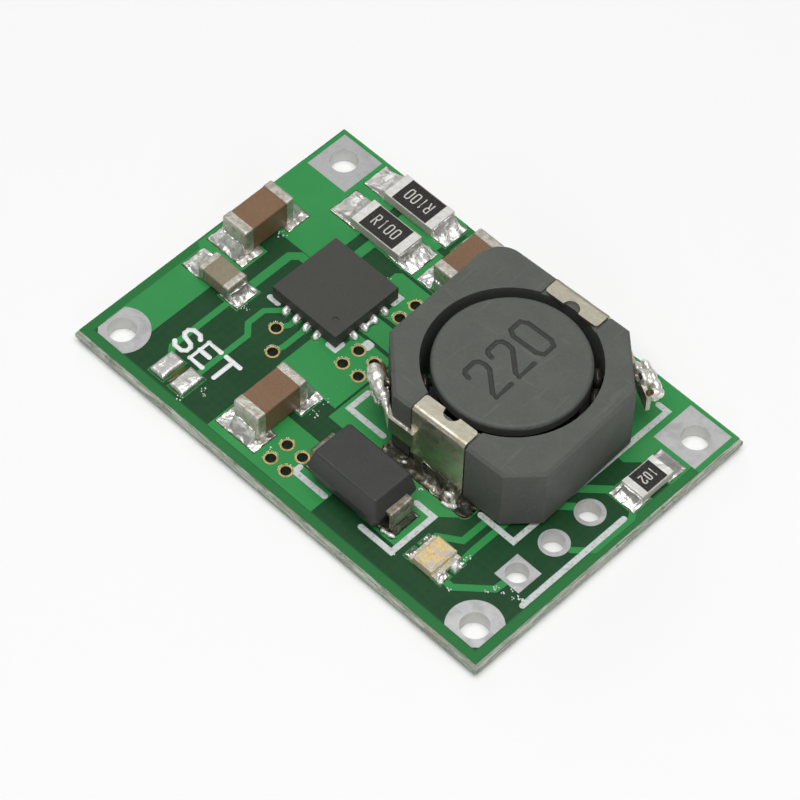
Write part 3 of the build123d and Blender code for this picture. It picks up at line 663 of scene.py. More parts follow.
@dataclass(frozen=True)
class LaminateFinish(Finish):
    """Woven glass in resin: fine layers and torn fibres on the snapped edges."""

    resin: Colour
    glass: Colour
    rosy: Colour
    shade: Colour

    def make(self) -> bpy.types.Material:
        """Lay out the material and return it."""
        surface = Surface(self.name)
        sheet = surface.sheet
        layers = sheet.noise(sheet.stretch(surface.place, (0.5, 0.5, 9.0)), 1.6, detail=4.0,
                             distortion=0.8)
        fibres = sheet.noise(sheet.stretch(surface.place, (2.0, 2.0, 7.0)), 2.4, detail=4.0,
                             rough=0.75)
        patch = surface.blotch(per_mm=0.55, cover=0.4, rim=0.12)
        dark = surface.blotch(per_mm=1.7, cover=0.3, rim=0.1)
        colour = sheet.mix(sheet.span(layers, 0.35, 0.65), self.resin, self.glass)
        colour = sheet.mix(sheet.calc("MULTIPLY", patch, 0.45), colour, self.rosy)
        colour = sheet.mix(sheet.span(fibres, 0.52, 0.72), colour, self.glass)
        colour = sheet.mix(sheet.calc("MULTIPLY", dark, 0.7), colour, self.shade)
        rough = sheet.span(fibres, 0.3, 0.7, 0.75, 0.5)
        coarse = surface.relief(layers, 0.06)
        surface.set(Base_Color=colour, Roughness=rough, Specular_IOR_Level=0.35,
                    Normal=surface.relief(fibres, 0.05, coarse))
        return surface.material


@dataclass(frozen=True)
class InkFinish(Finish):
    """Printed ink: nearly even, thinner in small patches."""

    ink: Colour
    thin: Colour
    roughness: float
    wear: float

    def make(self) -> bpy.types.Material:
        """Lay out the material and return it."""
        surface = Surface(self.name)
        sheet = surface.sheet
        patch = surface.blotch(per_mm=6.0, cover=self.wear, rim=0.12)
        grain = surface.effect(Effect.GRAIN, Per_mm=12.0, Speckle=0.4)
        rough = sheet.calc("MULTIPLY_ADD", grain.outputs["Tone"], 0.1, self.roughness)
        surface.set(Base_Color=sheet.mix(patch, self.ink, self.thin), Roughness=rough,
                    Specular_IOR_Level=0.3,
                    Normal=surface.relief(grain.outputs["Height"], 0.002))
        return surface.material


@dataclass(frozen=True)
class ResinFinish(Finish):
    """Milky casting resin with yellow patches of phosphor under it."""

    tint: Colour
    haze: Colour
    phosphor: Colour
    amber: Colour

    def make(self) -> bpy.types.Material:
        """Lay out the material and return it."""
        surface = Surface(self.name)
        sheet = surface.sheet
        patch = surface.blotch(per_mm=3.2, cover=0.5, rim=0.12)
        warm = surface.blotch(per_mm=3.3, cover=0.475, rim=0.07)
        core = surface.blotch(per_mm=6.0, cover=0.45, rim=0.1)
        grain = surface.effect(Effect.GRAIN, Per_mm=9.0, Speckle=0.2)
        colour = sheet.mix(patch, self.tint, self.haze)
        glow = sheet.mix(core, self.phosphor, self.amber)
        colour = sheet.mix(sheet.calc("MULTIPLY", warm, 0.75), colour, glow)
        rough = sheet.span(patch, 0.0, 1.0, 0.15, 0.35)
        surface.set(Base_Color=colour, Roughness=rough, Transmission_Weight=0.12, IOR=1.5,
                    Normal=surface.relief(grain.outputs["Height"], 0.004))
        return surface.material


class FinishShelf:
    """Makes each finish once, when it is first asked for."""

    def __init__(self, finishes: Sequence[Finish]) -> None:
        """Keep the finishes by name.

        Args:
            finishes: Every finish of the object.
        """
        self.finishes = {finish.name: finish for finish in finishes}
        self.made: dict[str, bpy.types.Material] = {}

    def get(self, name: str) -> bpy.types.Material:
        """Give the material of a finish.

        Args:
            name: Name of the finish.

        Returns:
            The material.
        """
        if name not in self.made:
            self.made[name] = self.finishes[name].make()
        return self.made[name]


def stone_finishes() -> list[Finish]:
    """List the fired, sintered and moulded finishes, and burnt flux."""
    return [
        StoneFinish("burnt_flux", body=paint(96, 66, 34), speck=paint(60, 42, 24),
                    rubbed=paint(128, 100, 60), roughness=0.35, grain_per_mm=5.0, speckle=0.4,
                    depth=0.01),
        # Dark charred flux at the clip foot, also used as painted shade in the shield's notches.
        StoneFinish("charred_flux_and_shade", body=paint(52, 50, 44), speck=paint(36, 35, 30),
                    rubbed=paint(96, 94, 86), roughness=0.3, grain_per_mm=8.0, speckle=0.4,
                    depth=0.01),
        StoneFinish("flux_film", body=paint(78, 74, 22), speck=paint(56, 56, 18),
                    rubbed=paint(104, 96, 44), roughness=0.25, grain_per_mm=6.0, speckle=0.3,
                    depth=0.004, rub=0.1, gloss=0.5),
        StoneFinish("mould_compound", body=paint(62, 62, 58), speck=paint(74, 74, 70),
                    rubbed=paint(72, 72, 68), roughness=0.62, grain_per_mm=16.0, speckle=0.35,
                    depth=0.003),
        StoneFinish("dark_mould", body=paint(54, 54, 53), speck=paint(66, 66, 65),
                    rubbed=paint(72, 70, 68), roughness=0.5, grain_per_mm=14.0, speckle=0.35,
                    depth=0.003),
        StoneFinish("brown_ceramic", body=paint(128, 98, 72), speck=paint(112, 84, 60),
                    rubbed=paint(140, 114, 90), roughness=0.5, grain_per_mm=10.0, speckle=0.25,
                    depth=0.002, rub=0.15),
        StoneFinish("tan_ceramic", body=paint(142, 132, 110), speck=paint(122, 112, 92),
                    rubbed=paint(158, 150, 130), roughness=0.5, grain_per_mm=10.0, speckle=0.3,
                    depth=0.005, rub=0.2),
        StoneFinish("alumina", body=paint(206, 202, 192), speck=paint(184, 180, 170),
                    rubbed=paint(150, 140, 120), roughness=0.6, grain_per_mm=12.0, speckle=0.2,
                    depth=0.006),
        StoneFinish("black_glaze", body=paint(44, 43, 42), speck=paint(58, 57, 55),
                    rubbed=paint(62, 61, 60), roughness=0.28, grain_per_mm=9.0, speckle=0.2,
                    depth=0.004, rub=0.12, gloss=0.5),
        StoneFinish("ferrite", body=paint(84, 86, 82), speck=paint(94, 96, 92),
                    rubbed=paint(106, 108, 102), roughness=0.62, grain_per_mm=11.0, speckle=0.4,
                    depth=0.004, rub=0.36, gloss=0.35),
        StoneFinish("lamp_board", body=paint(212, 207, 188), speck=paint(168, 164, 140),
                    rubbed=paint(126, 140, 84), roughness=0.5, grain_per_mm=9.0, speckle=0.2,
                    depth=0.004),
        StoneFinish("lamp_die", body=paint(220, 150, 60), speck=paint(150, 90, 40),
                    rubbed=paint(240, 200, 120), roughness=0.4, grain_per_mm=8.0, speckle=0.3,
                    depth=0.003),
    ]


def metal_finishes() -> list[Finish]:
    """List the plated, tinned and soldered finishes."""
    return [
        # The pale matt bore is painted light seen through the terminal holes.
        MetalFinish("tinned_pad", bright=paint(206, 206, 206), dull=paint(186, 186, 186),
                    roughness=0.42, patches_per_mm=1.1, waviness=0.012,
                    painted_bore=paint(214, 214, 210)),
        # The dark green bore is painted shade inside the via holes.
        MetalFinish("gold_ring", bright=paint(224, 196, 142), dull=paint(188, 152, 96),
                    roughness=0.42, patches_per_mm=4.0, waviness=0.004, painted_bore=paint(44, 72, 46)),
        MetalFinish("copper_foil", bright=paint(198, 130, 92), dull=paint(150, 92, 60),
                    roughness=0.35, patches_per_mm=2.0, waviness=0.004),
        MetalFinish("solder_joint", bright=paint(240, 239, 235), dull=paint(206, 204, 197),
                    roughness=0.26, patches_per_mm=2.6, waviness=0.03, grain_depth=0.008,
                    patches_of_flux=0.12),
        MetalFinish("strap_joint", bright=paint(250, 248, 242), dull=paint(206, 202, 190),
                    roughness=0.28, patches_per_mm=2.4, waviness=0.06,
                    flux=paint(150, 130, 92), patches_of_flux=0.14, spread=0.1, shine=0.7),
        # Near-white half-matt solder for small beads, also used for the painted glint on the front
        # clip's rim.
        MetalFinish("bright_bead_and_glint", bright=paint(252, 252, 250), dull=paint(226, 225, 220),
                    roughness=0.24, patches_per_mm=3.0, waviness=0.02, shine=0.45),
        # Solder under a dark olive flux film, darkened also as painted shade round the clip feet
        # and in the strap hollows.
        MetalFinish("fluxed_and_shaded_joint", bright=paint(150, 148, 134), dull=paint(82, 80, 64),
                    roughness=0.22, patches_per_mm=2.2, waviness=0.03, grain_depth=0.008,
                    flux=paint(54, 52, 38), patches_of_flux=0.5),
        MetalFinish("end_plating", bright=paint(214, 210, 200), dull=paint(182, 177, 163),
                    roughness=0.44, patches_per_mm=3.6, waviness=0.02, grain_depth=0.01,
                    pits=0.1, flux=paint(150, 142, 122)),
        MetalFinish("resistor_end", bright=paint(244, 243, 239), dull=paint(222, 220, 213),
                    roughness=0.36, patches_per_mm=2.2, waviness=0.03, grain_depth=0.006,
                    shine=0.6),
        MetalFinish("clip_sheet", bright=paint(226, 220, 202), dull=paint(196, 189, 168),
                    roughness=0.32, patches_per_mm=1.8, waviness=0.012, grain_depth=0.003,
                    pits=0.1),
        MetalFinish("lead_sheet", bright=paint(170, 165, 150), dull=paint(120, 114, 98),
                    roughness=0.32, patches_per_mm=3.0, waviness=0.01, pits=0.12,
                    flux=paint(90, 82, 60)),
        # Dark brown enamel, darkened almost to black as painted shade over the winding seen in the
        # gap.
        MetalFinish("enamelled_wire", bright=paint(36, 26, 20), dull=paint(26, 20, 15),
                    roughness=0.6, patches_per_mm=3.0, waviness=0.006, shine=0.4),
    ]


def board_finishes() -> list[Finish]:
    """List the finishes of the board, of the print and of the lamp's resin."""
    half_length, half_width = 12.5, 8.5
    copper_step, above_board = 0.79, 3.0
    return [
        LacquerFinish("green_lacquer", over_copper=paint(54, 146, 78),
                      over_laminate=paint(28, 66, 38), see_through=paint(42, 116, 60),
                      half_length=half_length, half_width=half_width, margin=0.6,
                      step=copper_step),
        LacquerFinish("green_lacquer_below", over_copper=paint(30, 104, 50),
                      over_laminate=paint(34, 120, 60), see_through=paint(34, 128, 64),
                      half_length=half_length, half_width=half_width, margin=0.1,
                      step=above_board),
        LaminateFinish("glass_laminate", resin=paint(132, 142, 118), glass=paint(204, 210, 198),
                       rosy=paint(164, 146, 128), shade=paint(66, 78, 60)),
        InkFinish("white_legend", ink=paint(208, 213, 211), thin=paint(158, 176, 163),
                  roughness=0.5, wear=0.36),
        # Bold white ink: the bridge label, and the specks of painted highlight on the lacquer.
        InkFinish("bold_legend_and_glints", ink=paint(240, 242, 241), thin=paint(216, 222, 218),
                  roughness=0.5, wear=0.2),
        InkFinish("pale_marking", ink=paint(208, 208, 200), thin=paint(150, 150, 144),
                  roughness=0.5, wear=0.25),
        InkFinish("burnt_marking", ink=paint(62, 62, 60), thin=paint(72, 73, 70),
                  roughness=0.75, wear=0.4),
        ResinFinish("lamp_resin", tint=paint(236, 226, 198), haze=paint(212, 200, 190),
                    phosphor=paint(248, 224, 130), amber=paint(240, 172, 96)),
    ]


# Grown pieces


def link(name: str, data: bpy.types.ID) -> bpy.types.Object:
    """Put a mesh, a light or a camera in the scene.

    Args:
        name: Name of the piece.
        data: What it holds. A mesh is already in place.

    Returns:
        The new object, at the origin.
    """
    piece = bpy.data.objects.new(name, data)
    bpy.context.scene.collection.objects.link(piece)
    return piece


def grow(name: str, seed: bpy.types.Mesh, tree: bpy.types.NodeTree,
         values: dict[str, object]) -> bpy.types.Mesh:
    """Run a geometry tree on a seed mesh and keep the plain mesh that comes out.

    Args:
        name: Name of the piece.
        seed: Mesh that the tree starts from.
        tree: The geometry tree.
        values: The tree's inputs by name.

    Returns:
        The grown mesh.
    """
    holder = link(name + "_seed", seed)
    modifier = holder.modifiers.new("Growth", "NODES")
    modifier.node_group = tree
    for item in tree.interface.items_tree:
        if item.item_type == "SOCKET" and item.in_out == "INPUT" and item.name in values:
            modifier[item.identifier] = values[item.name]
    bpy.context.view_layer.update()
    ready = holder.evaluated_get(bpy.context.evaluated_depsgraph_get())
    mesh = bpy.data.meshes.new_from_object(ready)
    mesh.name = name
    bpy.data.objects.remove(holder)
    return mesh


def loose_parts(source: bpy.types.Object) -> list[bpy.types.Mesh]:
    """Split a solid's mesh into a merged mesh for each loose part.

    Args:
        source: The solid's object, which stays as it is.

    Returns:
        The parts' meshes.
    """
    whole = bmesh.new()
    whole.from_mesh(source.data)
    bmesh.ops.remove_doubles(whole, verts=whole.verts, dist=0.00001 * MM)
    seen: set[int] = set()
    parts = []
    for start in list(whole.verts):
        if start.index in seen:
            continue
        seen.add(start.index)
        group = [start]
        for vertex in group:
            for edge in vertex.link_edges:
                other = edge.other_vert(vertex)
                if other.index not in seen:
                    seen.add(other.index)
                    group.append(other)
        place = {vertex.index: number for number, vertex in enumerate(group)}
        faces = {face.index: face for vertex in group for face in vertex.link_faces}
        mesh = bpy.data.meshes.new(source.name + "_part")
        mesh.from_pydata([vertex.co[:] for vertex in group], [],
                         [[place[vertex.index] for vertex in face.verts]
                          for face in faces.values()])
        parts.append(mesh)
    whole.free()
    return parts


def growth_tree(name: str, numbers: dict[str, float]) -> tuple[Sheet, bpy.types.Node]:
    """Start a geometry tree with a geometry input, a material input and number inputs.

    Args:
        name: Name of the tree.
        numbers: Its number inputs and their usual values.

    Returns:
        The sheet and its input node.
    """
    tree = bpy.data.node_groups.new(name, "GeometryNodeTree")
    tree.interface.new_socket("Geometry", in_out="INPUT", socket_type="NodeSocketGeometry")
    tree.interface.new_socket("Finish", in_out="INPUT", socket_type="NodeSocketMaterial")
    for label, value in numbers.items():
        kind = "NodeSocketInt" if isinstance(value, int) else "NodeSocketFloat"
        socket = tree.interface.new_socket(label, in_out="INPUT", socket_type=kind)
        socket.default_value = value
    tree.interface.new_socket("Geometry", in_out="OUTPUT", socket_type="NodeSocketGeometry")
    sheet = Sheet(tree)
    return sheet, sheet.add("NodeGroupInput")


def close_tree(sheet: Sheet, given: bpy.types.Node, *shapes: Socket) -> None:
    """End a geometry tree: join, make instances real and set the finish.

    Args:
        sheet: The tree's sheet.
        given: Its input node.
        *shapes: The geometry to put out.
    """
    real = sheet.result("GeometryNodeRealizeInstances", sheet.join(shapes))
    finished = sheet.result("GeometryNodeSetMaterial", named={
        "Geometry": real, "Material": given.outputs["Finish"]})
    sheet.add("NodeGroupOutput", finished)


@dataclass(frozen=True)
class Lettering:
    """How characters are drawn: a character's middle lines, the gap, the stroke and the ink."""

    wide: float
    high: float
    gap: float
    stroke: float
    ink_t: float


class Pen:
    """Draws characters as rounded strokes with a geometry tree."""

    GLYPHS: ClassVar[dict[str, list[Path]]] = {
        "S": [[(0.95, 0.86), (0.74, 1.0), (0.26, 1.0), (0.05, 0.86), (0.05, 0.66), (0.22, 0.54),
               (0.78, 0.46), (0.95, 0.34), (0.95, 0.14), (0.74, 0.0), (0.26, 0.0), (0.05, 0.14)]],
        "E": [[(0.95, 1.0), (0.05, 1.0), (0.05, 0.0), (0.95, 0.0)], [(0.05, 0.52), (0.75, 0.52)]],
        "T": [[(0.0, 1.0), (1.0, 1.0)], [(0.5, 1.0), (0.5, 0.0)]],
        "2": [[(0.0, 0.8), (0.06, 0.94), (0.22, 1.0), (0.78, 1.0), (0.95, 0.92), (1.0, 0.78),
               (0.95, 0.62), (0.1, 0.14), (0.04, 0.0), (1.0, 0.0)]],
        "0": [[(0.5, 1.0), (0.2, 1.0), (0.02, 0.84), (0.02, 0.16), (0.2, 0.0), (0.8, 0.0),
               (0.98, 0.16), (0.98, 0.84), (0.8, 1.0), (0.5, 1.0)]],
        "R": [[(0.05, 0.0), (0.05, 1.0), (0.7, 1.0), (0.92, 0.88), (0.92, 0.62), (0.7, 0.5),
               (0.05, 0.5)], [(0.5, 0.5), (0.95, 0.0)]],
        "1": [[(0.4, 0.9), (0.52, 1.0), (0.52, 0.0)]],
    }
    DOT_SIDES: ClassVar[int] = 14
    LAYER_LIFT: ClassVar[float] = 0.15

    def __init__(self) -> None:
        """Build the geometry tree: a flat ribbon along each stroke, with round ends."""
        sheet, given = growth_tree("Stroke pen", {"Width": 0.2 * MM, "Thickness": 0.01 * MM})
        self.tree = sheet.tree
        paths, width, thick = (given.outputs[name] for name in ("Geometry", "Width", "Thickness"))
        curve = sheet.result("GeometryNodeMeshToCurve", paths)
        upright = sheet.result("GeometryNodeSetCurveNormal", curve, mode="Z_UP")
        section = sheet.result("GeometryNodeCurvePrimitiveQuadrilateral",
                               named={"Width": width, "Height": thick})
        ribbon = sheet.result("GeometryNodeCurveToMesh", named={
            "Curve": upright, "Profile Curve": section, "Fill Caps": True})
        dot = sheet.result("GeometryNodeMeshCylinder", named={
            "Vertices": self.DOT_SIDES, "Radius": sheet.calc("MULTIPLY", width, 0.5),
            "Depth": sheet.calc("MULTIPLY", thick, 0.96)})
        ends = sheet.result("GeometryNodeInstanceOnPoints", named={
            "Points": paths, "Instance": dot})
        close_tree(sheet, given, ribbon, ends)

    def write(self, name: str, text: str, finish: bpy.types.Material, lettering: Lettering,
              place: Matrix) -> bpy.types.Object:
        """Write one line of characters.

        Args:
            name: Name of the piece.
            text: The characters.
            finish: Its material.
            lettering: How the characters are drawn.
            place: Where the middle of the line goes, in millimetres, local z out of the surface.

        Returns:
            The written piece.
        """
        wide, high, gap = lettering.wide, lettering.high, lettering.gap
        pitch = wide + gap
        start = -(pitch * len(text) - gap) / 2
        seed = bmesh.new()
        for number, letter in enumerate(text):
            for layer, path in enumerate(self.GLYPHS[letter]):
                lift = self.LAYER_LIFT * lettering.ink_t * layer
                points = [seed.verts.new(place @ Vector(
                    (start + pitch * number + u * wide, (v - 0.5) * high, lift)) * MM)
                    for u, v in path]
                for before, after in zip(points, points[1:]):
                    seed.edges.new((before, after))
        mesh = bpy.data.meshes.new(name + "_paths")
        seed.to_mesh(mesh)
        seed.free()
        return link(name, grow(name, mesh, self.tree, {
            "Finish": finish, "Width": lettering.stroke * MM, "Thickness": lettering.ink_t * MM}))


@dataclass(frozen=True)
class Grains:
    """Share of the points with a grain, its least and most radius, height to width, and seed."""

    share: float
    smallest: float
    largest: float
    flatness: float
    seed: int


class Scatter:
    """Strews small irregular grains over the points of a seed mesh."""

    def __init__(self) -> None:
        """Build the geometry tree: a share of the points gets a grain of random size and turn."""
        sheet, given = growth_tree("Grain scatter", {
            "Share": 0.5, "Smallest": 0.02 * MM, "Largest": 0.06 * MM, "Flatness": 0.6, "Seed": 1})
        self.tree = sheet.tree
        grain = sheet.result("GeometryNodeMeshIcoSphere", named={
            "Radius": 1.0, "Subdivisions": 1})
        chosen = self._random(sheet, given, "BOOLEAN", "Value_003", {
            "Probability": given.outputs["Share"]})
        size = self._random(sheet, given, "FLOAT", "Value_001", {
            "Min_001": given.outputs["Smallest"], "Max_001": given.outputs["Largest"]})
        turn = self._random(sheet, given, "FLOAT_VECTOR", "Value", {"Max": (math.tau,) * 3})
        flat = sheet.calc("MULTIPLY", size, given.outputs["Flatness"])
        put = sheet.result("GeometryNodeInstanceOnPoints", named={
            "Points": given.outputs["Geometry"], "Selection": chosen, "Instance": grain,
            "Rotation": turn, "Scale": sheet.join_axes(size, size, flat)})
        close_tree(sheet, given, put)

    @staticmethod
    def _random(sheet: Sheet, given: bpy.types.Node, kind: str, output: str,
                limits: dict[str, Feed]) -> Socket:
        """Add a random value.

        Args:
            sheet: The tree's sheet.
            given: The tree's input node, which has the seed.
            kind: Blender's name of the value's type.
            output: Identifier of the output that has this type.
            limits: What the value's limits are fed with, by the input's identifier.

        Returns:
            The socket with the value.
        """
        node = sheet.add("FunctionNodeRandomValue", data_type=kind,
                         named={"Seed": given.outputs["Seed"]})
        for identifier, value in limits.items():
            sheet.feed(by_identifier(node.inputs, identifier), value)
        return by_identifier(node.outputs, output)

    def strew(self, name: str, points: Sequence[Vector], finish: bpy.types.Material,
              grains: Grains) -> bpy.types.Object:
        """Strew grains over points.

        Args:
            name: Name of the piece.
            points: Places in millimetres.
            finish: The grains' material.
            grains: The grains' sizes and seed.

        Returns:
            The piece.
        """
        mesh = bpy.data.meshes.new(name + "_points")
        mesh.from_pydata([tuple(point * MM) for point in points], [], [])
        return link(name, grow(name, mesh, self.tree, {
            "Finish": finish, "Share": grains.share, "Smallest": grains.smallest * MM,
            "Largest": grains.largest * MM, "Flatness": grains.flatness, "Seed": grains.seed}))


@dataclass(frozen=True)
class Lumps:
    """A skin's cell, the height of its lumps, how close they are, and how far its rim wanders."""

    step: float
    swell: float
    per_mm: float
    spill: float


class SolderSkin:
    """Lays a lumpy skin over each plain joint of solder with a geometry tree.

    The tree drops a fine grid on the joint from above, swells it, and closes it below.
    """

    RIM_LIFT: ClassVar[float] = 0.016
    SEAL: ClassVar[float] = 0.0001
    RAY_LENGTH: ClassVar[float] = 10.0
    RAY_SHRINK: ClassVar[float] = 0.996
    SEED_SHIFT: ClassVar[float] = 3.7
    LUMP_SPAN: ClassVar[tuple[float, float]] = (0.36, 0.7)
    FINE_RATE: ClassVar[float] = 2.7
    FINE_SHARE: ClassVar[float] = 0.22
    LEAST_RISE: ClassVar[float] = 0.05
    DRIFT_RATE: ClassVar[float] = 1.6
    DRIFT_ZERO: ClassVar[float] = 0.45
    DRIFT_GAIN: ClassVar[float] = 4.0
    X_CLOUD: ClassVar[tuple[float, float, float]] = (7.0, 3.0, 1.0)
    Y_CLOUD: ClassVar[tuple[float, float, float]] = (2.0, 9.0, 5.0)

    def __init__(self) -> None:
        """Build the geometry tree."""
        sheet, given = growth_tree("Solder skin", {
            "Step": 0.05 * MM, "Swell": 0.05 * MM, "Lumps per mm": 2.0, "Spill": 0.04 * MM,
            "Shift": 0.0})
        self.tree = sheet.tree
        joint = given.outputs["Geometry"]
        box = sheet.add("GeometryNodeBoundBox", joint)
        low, high = box.outputs["Min"], box.outputs["Max"]
        wide, deep, _ = sheet.axes(sheet.vector("SUBTRACT", high, low))
        middle = sheet.halfway(low, high)
        base = sheet.calc("ADD", sheet.axes(low)[2], self.RIM_LIFT * MM)
        sides: dict[str, Feed] = {}
        for side, span in (("X", wide), ("Y", deep)):
            cells = sheet.calc("DIVIDE", span, given.outputs["Step"])
            sides[f"Size {side}"] = span
            sides[f"Vertices {side}"] = sheet.calc("ADD", cells, 2.0)
        grid = sheet.result("GeometryNodeMeshGrid", named=sides)
        above = sheet.join_axes(0.0, 0.0, sheet.calc("ADD", sheet.axes(high)[2], MM))
        shift = sheet.vector("MULTIPLY_ADD", middle, (1.0, 1.0, 0.0), above)
        lifted = sheet.move(grid, sheet.vector("ADD", sheet.here(), shift))
        hit, struck = self._drop(sheet, joint, middle)
        missed = sheet.result("FunctionNodeBooleanMath", struck, operation="NOT")
        trimmed = sheet.result("GeometryNodeDeleteGeometry", domain="POINT", named={
            "Geometry": lifted, "Selection": missed})
        top = sheet.move(trimmed, self._swelled(sheet, given, hit, base))
        x, y, _ = sheet.axes(sheet.here())
        below = sheet.move(top, sheet.join_axes(x, y, base))
        shell = sheet.join((top, sheet.result("GeometryNodeFlipFaces", below)))
        sealed = sheet.result("GeometryNodeMergeByDistance", named={
            "Geometry": shell, "Distance": self.SEAL * MM})
        close_tree(sheet, given, sheet.result("GeometryNodeSetShadeSmooth", sealed))

    def _drop(self, sheet: Sheet, joint: Socket, middle: Socket) -> tuple[Socket, Socket]:
        """Find the joint's surface under each point.

        Args:
            sheet: The tree's sheet.
            joint: The joint's mesh.
            middle: Middle of its box.

        Returns:
            Where the surface is, and whether there is any.
        """
        away = sheet.vector("SUBTRACT", sheet.here(), middle)
        shrink = (self.RAY_SHRINK, self.RAY_SHRINK, 1.0)
        ray = sheet.add("GeometryNodeRaycast", named={
            "Target Geometry": joint,
            "Source Position": sheet.vector("MULTIPLY_ADD", away, shrink, middle),
            "Ray Direction": (0.0, 0.0, -1.0), "Ray Length": self.RAY_LENGTH * MM})
        return ray.outputs["Hit Position"], ray.outputs["Is Hit"]

    def _swelled(self, sheet: Sheet, given: bpy.types.Node, hit: Socket, base: Socket) -> Socket:
        """Swell the surface into lumps, and let its rim run down and out a little.

        Args:
            sheet: The tree's sheet.
            given: The tree's input node.
            hit: The joint's surface under each point.
            base: Height of the rim.

        Returns:
            Each point's new place.
        """
        shift = sheet.join_axes(given.outputs["Shift"], 0.0, 0.0)
        spot = sheet.vector("MULTIPLY_ADD", hit, (1 / MM, 1 / MM, 1 / MM), shift)
        rate = given.outputs["Lumps per mm"]
        lump = sheet.noise(spot, rate, detail=1.0)
        fine = sheet.noise(spot, sheet.calc("MULTIPLY", rate, self.FINE_RATE), detail=0.0)
        rise = sheet.calc("MULTIPLY_ADD", fine, self.FINE_SHARE,
                          sheet.span(lump, *self.LUMP_SPAN))
        rise = sheet.calc("MULTIPLY", sheet.calc("ADD", rise, self.LEAST_RISE),
                          given.outputs["Swell"])
        x, y, z = sheet.axes(hit)
        wander = sheet.calc("MULTIPLY", given.outputs["Spill"], self.DRIFT_GAIN)
        run_out = []
        for axis, offset in ((x, self.X_CLOUD), (y, self.Y_CLOUD)):
            cloud = sheet.noise(sheet.vector("ADD", spot, offset),
                                sheet.calc("MULTIPLY", rate, self.DRIFT_RATE), detail=1.0)
            drift = sheet.calc("MULTIPLY", sheet.calc("SUBTRACT", cloud, self.DRIFT_ZERO),
                               wander)
            run_out.append(sheet.calc("ADD", axis, drift))
        neighbours = sheet.result("GeometryNodeInputMeshEdgeNeighbors")
        rim = sheet.calc("COMPARE", neighbours, 1.0, 0.1)
        at_rim = sheet.result("GeometryNodeFieldOnDomain", rim, data_type="BOOLEAN",
                              domain="EDGE")
        height = sheet.result("GeometryNodeSwitch", at_rim, input_type="FLOAT", named={
            "False": sheet.calc("ADD", z, rise), "True": base})
        return sheet.join_axes(*run_out, height)

    def coat(self, name: str, source: bpy.types.Object, finish: bpy.types.Material,
             lumps: Lumps) -> bpy.types.Object:
        """Coat every joint of one solid.

        Args:
            name: Name of the piece.
            source: The solid's object.
            finish: The solder's material.
            lumps: Sizes of the skin, in millimetres.

        Returns:
            The piece: all joints' skins.
        """
        joined = bmesh.new()
        for number, part in enumerate(loose_parts(source)):
            skin = grow(name, part, self.tree, {
                "Finish": finish, "Step": lumps.step * MM, "Swell": lumps.swell * MM,
                "Lumps per mm": lumps.per_mm, "Spill": lumps.spill * MM,
                "Shift": self.SEED_SHIFT * number})
            joined.from_mesh(skin)
            bpy.data.meshes.remove(skin)
        mesh = bpy.data.meshes.new(name)
        joined.to_mesh(mesh)
        joined.free()
        mesh.materials.append(finish)
        return link(name, mesh)


@dataclass(frozen=True)
class Drop:
    """One rounded lump of solder: middle, radii, turn about the upright axis in degrees."""

    middle: tuple[float, float, float]
    radii: tuple[float, float, float]
    turn: float = 0.0

    def moved(self, x: float, y: float, z: float) -> Drop:
        """Give the same lump with its middle told from another point.

        Args:
            x: The point along x.
            y: The point along y.
            z: Its height.

        Returns:
            The moved lump.
        """
        along, across, up = self.middle
        return Drop((x + along, y + across, z + up), self.radii, self.turn)


